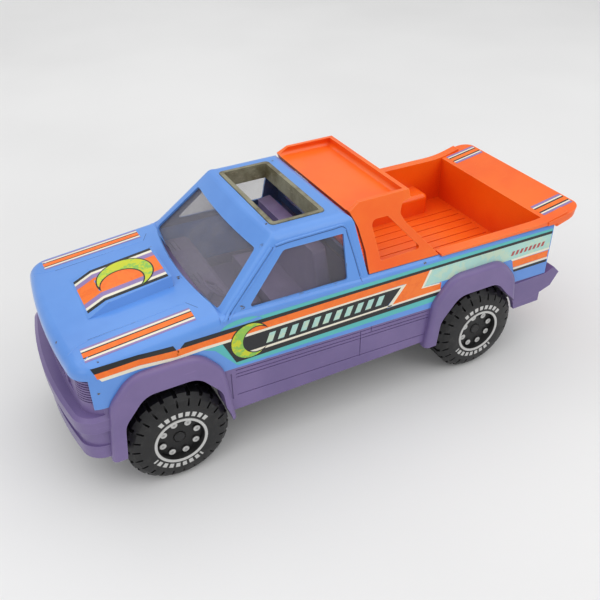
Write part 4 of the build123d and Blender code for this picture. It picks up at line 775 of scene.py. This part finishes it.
def scoop_label():
    """The striped label over the scoop, with its crescent."""
    y = SCOOP_HALF
    total = sum(share for _, share in SCOOP_BANDS)
    for n, (colour, share) in enumerate(SCOOP_BANDS):
        inner = y - share * 2 * SCOOP_HALF / total
        outline = [(x, y) for x in (SCOOP_FRONT, SCOOP_BEND, SCOOP_REAR)]
        outline += [(x, inner) for x in (SCOOP_REAR, SCOOP_BEND, SCOOP_FRONT)]
        top_print(f"scoop_label_{n}_{colour}", shell_tree, colour, outline, 1.6)
        y = inner
    top_print("scoop_crescent_edge", shell_tree, "black", crescent(grow=0.55, **SCOOP_MOON), 2.4)
    top_print("scoop_crescent", shell_tree, "yellow", crescent(**SCOOP_MOON), 3.2)


SIDES = ((1, "left"), (-1, "right"))
shell_tree = caster("body_shell")
liner_tree = caster("bed_liner")
for side, hand in SIDES:
    side_label(side, hand)
for side, hand in SIDES:
    striped(f"hood_stripe_{hand}", shell_tree, HOOD_BANDS, HOOD_STRIPE_X, HOOD_STRIPE_Y, side)
    striped(f"spoiler_stripe_{hand}", liner_tree, SPOILER_BANDS, SPOILER_STRIPE_X, SPOILER_STRIPE_Y, side)
scoop_label()

# ---------------------------------------------------------------- body lines in the steel

LINE_STEP = 1.2  # millimetres between a line's points


def bead(name, points, radius, material):
    """A thin rounded line along points, in metres; the radius is in millimetres."""
    curve = bpy.data.curves.new(name, "CURVE")
    curve.dimensions = "3D"
    curve.bevel_depth = radius * MM
    curve.bevel_resolution = 2
    curve.use_fill_caps = True
    line = curve.splines.new("POLY")
    line.points.add(len(points) - 1)
    for target, point in zip(line.points, points):
        target.co = (*point, 1.0)
    return riding(name, curve, material)


def spaced(path, gap):
    """Points along a bent line, no more than about the gap apart."""
    points = [path[0]]
    for start, end in zip(path, path[1:]):
        count = max(1, int(sqrt((end[0] - start[0]) ** 2 + (end[1] - start[1]) ** 2) / gap))
        for n in range(1, count + 1):
            points.append(tuple(a + (b - a) * n / count for a, b in zip(start, end)))
    return points


def pressed(name, path, radius, sink, side, material):
    """A line sunk a little into the steel: the path is (x, z) seen from a side, or (x, y) from above."""
    points = []
    for first, second in spaced(path, LINE_STEP):
        if side:
            start, way = Vector((first * MM, side * 2 * SIDE_Y, second * MM)), Vector((0, -side, 0))
        else:
            start, way = Vector((first * MM, second * MM, ABOVE)), DOWN
        found, normal = shell_tree.ray_cast(start, way)[:2]
        if found is None:
            raise RuntimeError(f"{name} misses the steel at {first}, {second}")
        if normal.dot(way) > 0:
            normal = -normal
        points.append(found - normal * sink * MM)
    return bead(name, points, radius, material)


RAIL_TOP_Z = 91.0  # over this the drip rail runs along the roof, under it down behind the door
RAIL_GAP = 0.75  # from the drip rail to the painted shadow line inside it
DRIP_RAIL = [
    (31.4, 92.4), (26.0, 92.8), (6.0, 93.0), *arc((3.4, 89.6), (3.2, 3.6), 80, 180, 6), (-1.6, 80.0),
    (-3.0, 71.5),
]
DRIP_GAP_SHADOW = [(x, z - RAIL_GAP) if z > RAIL_TOP_Z else (x + RAIL_GAP, z) for x, z in DRIP_RAIL]
# dark beads sunk in the grooves: painted shadow lines
gap_shadow = ink("panel_gap_shadow", BLUE_GAP_SHADOW)

# seen from the side, (x, z): name, path, radius, sink, material
SIDE_LINES = (
    ("pillar_ridge_front", [(56.8, 70.6), (33.2, 92.0)], 0.75, 0.2, blue),
    ("pillar_gap_shadow", [(55.9, 70.6), (32.3, 91.9)], 0.16, 0.04, gap_shadow),
    ("pillar_ridge_rear", [(54.9, 70.6), (31.4, 91.6)], 0.5, 0.15, blue),
    ("drip_rail", DRIP_RAIL, 0.5, 0.1, blue),
    ("drip_gap_shadow", DRIP_GAP_SHADOW, 0.14, 0.04, gap_shadow),
    ("door_gap_shadow", [(-2.4, 71.0), (-3.2, 68.0)], 0.12, 0.06, gap_shadow),
)
# seen from above, (x, distance from the middle)
HOOD_LINES = (
    ("hood_crease", [(66.0, 26.2), (104.0, 26.8), (109.0, 28.2), (112.0, 30.2)], 0.3, 0.14, blue),
    ("hood_gap_shadow", [(63.0, 31.5), (66.0, 26.2), (104.0, 26.4)], 0.12, 0.06, gap_shadow),
    ("hood_corner_crease", [(106.0, 35.2), (109.0, 37.4)], 0.3, 0.14, blue),
)
for side, hand in SIDES:
    for name, path, radius, sink, material in SIDE_LINES:
        pressed(f"{name}_{hand}", path, radius, sink, side, material)
    for name, path, radius, sink, material in HOOD_LINES:
        pressed(f"{name}_{hand}", [(x, side * y) for x, y in path], radius, sink, 0, material)


# ---------------------------------------------------------------- floor, lights and camera


def floor_material():
    """Pale paper sweep with a faint tooth."""
    g = Graph("paper_sweep")
    tone = g.window(g.noise(3.0, 3.0), 0.3, 0.7)
    g.set(Base_Color=g.blend(tone, PAPER, PAPER_SHADE))
    g.set(Roughness=0.75, Normal=g.bump(g.noise(400.0, 3.0), 0.05, 0.1 * MM))
    g.shader.inputs["Specular IOR Level"].default_value = 0.2
    return g.material


# the sweep, in metres: half its width, its front edge, its back wall, its height and its bend
SWEEP_HALF, SWEEP_FRONT, SWEEP_BACK, SWEEP_RISE, SWEEP_BEND = 2.5, 2.5, -1.3, 1.6, 0.5
BEND_STEPS = 12


def sweep_sheet():
    """A floor that curves up far behind the truck."""
    bend_start = SWEEP_BACK + SWEEP_BEND
    profile = [(SWEEP_FRONT, 0.0), (bend_start, 0.0)]
    for n in range(1, BEND_STEPS + 1):
        a = pi / 2 * n / BEND_STEPS
        profile.append((bend_start - SWEEP_BEND * sin(a), SWEEP_BEND - SWEEP_BEND * cos(a)))
    profile.append((SWEEP_BACK, SWEEP_RISE))
    mesh = bmesh.new()
    rows = []
    for py, pz in profile:
        rows.append([mesh.verts.new((side * SWEEP_HALF, py, pz)) for side in (-1, 1)])
    for first, second in zip(rows, rows[1:]):
        mesh.faces.new((first[0], first[1], second[1], second[0]))
    data = bpy.data.meshes.new("studio_floor")
    mesh.to_mesh(data)
    mesh.free()
    data.materials.append(floor_material())
    for face in data.polygons:
        face.use_smooth = True
    linked("studio_floor", data)


# name, place, target, side length in metres, power in watts
LIGHTS = (
    ("overhead", (0.05, -0.05, 0.95), (0, 0, 0), 1.5, 5.6),
    ("window", (-0.5, 0.8, 0.8), (0, 0, 0.03), 0.7, 2.0),
    ("fill", (0.9, 0.5, 0.5), (0, 0, 0.04), 0.6, 1.0),
)
WORLD_STRENGTH = 0.60


def soft_light(name, place, target, size, power):
    """A large square light that points at a target."""
    light = bpy.data.lights.new(name, "AREA")
    light.shape = "RECTANGLE"
    light.size = light.size_y = size
    light.energy = power
    lamp = linked(name, light)
    lamp.location = place
    lamp.rotation_euler = (Vector(target) - Vector(place)).to_track_quat("-Z", "Y").to_euler()


def white_world():
    """An even white surround."""
    world = bpy.data.worlds.new("studio")
    bpy.context.scene.world = world
    world.use_nodes = True
    background = world.node_tree.nodes["Background"]
    background.inputs["Color"].default_value = (1.0, 1.0, 1.0, 1.0)
    background.inputs["Strength"].default_value = WORLD_STRENGTH


CAMERA_PLACE = Vector((0.1280, 0.2448, 0.2306))  # metres
CAMERA_FORWARD = Vector((-0.36875, -0.72920, -0.57644)).normalized()
CAMERA_RIGHT = Vector((-0.88699, 0.46149, -0.01638))
SENSOR = 36.0
LENS = 43.4


def studio_camera():
    """A camera over the truck's front left corner."""
    # square the axes: take away whatever part of right points forward
    right = (CAMERA_RIGHT - CAMERA_FORWARD * CAMERA_RIGHT.dot(CAMERA_FORWARD)).normalized()
    up = right.cross(CAMERA_FORWARD)
    lens = bpy.data.cameras.new("camera")
    lens.sensor_width = SENSOR
    lens.lens = LENS
    lens.clip_start = 0.01
    camera = linked("camera", lens)
    turned = Matrix((right, up, -CAMERA_FORWARD)).transposed().to_4x4()
    camera.matrix_world = Matrix.Translation(CAMERA_PLACE) @ turned
    bpy.context.scene.camera = camera


sweep_sheet()
for name, place, target, size, power in LIGHTS:
    soft_light(name, place, target, size, power)
white_world()
studio_camera()
bpy.context.scene.view_settings.view_transform = "Standard"
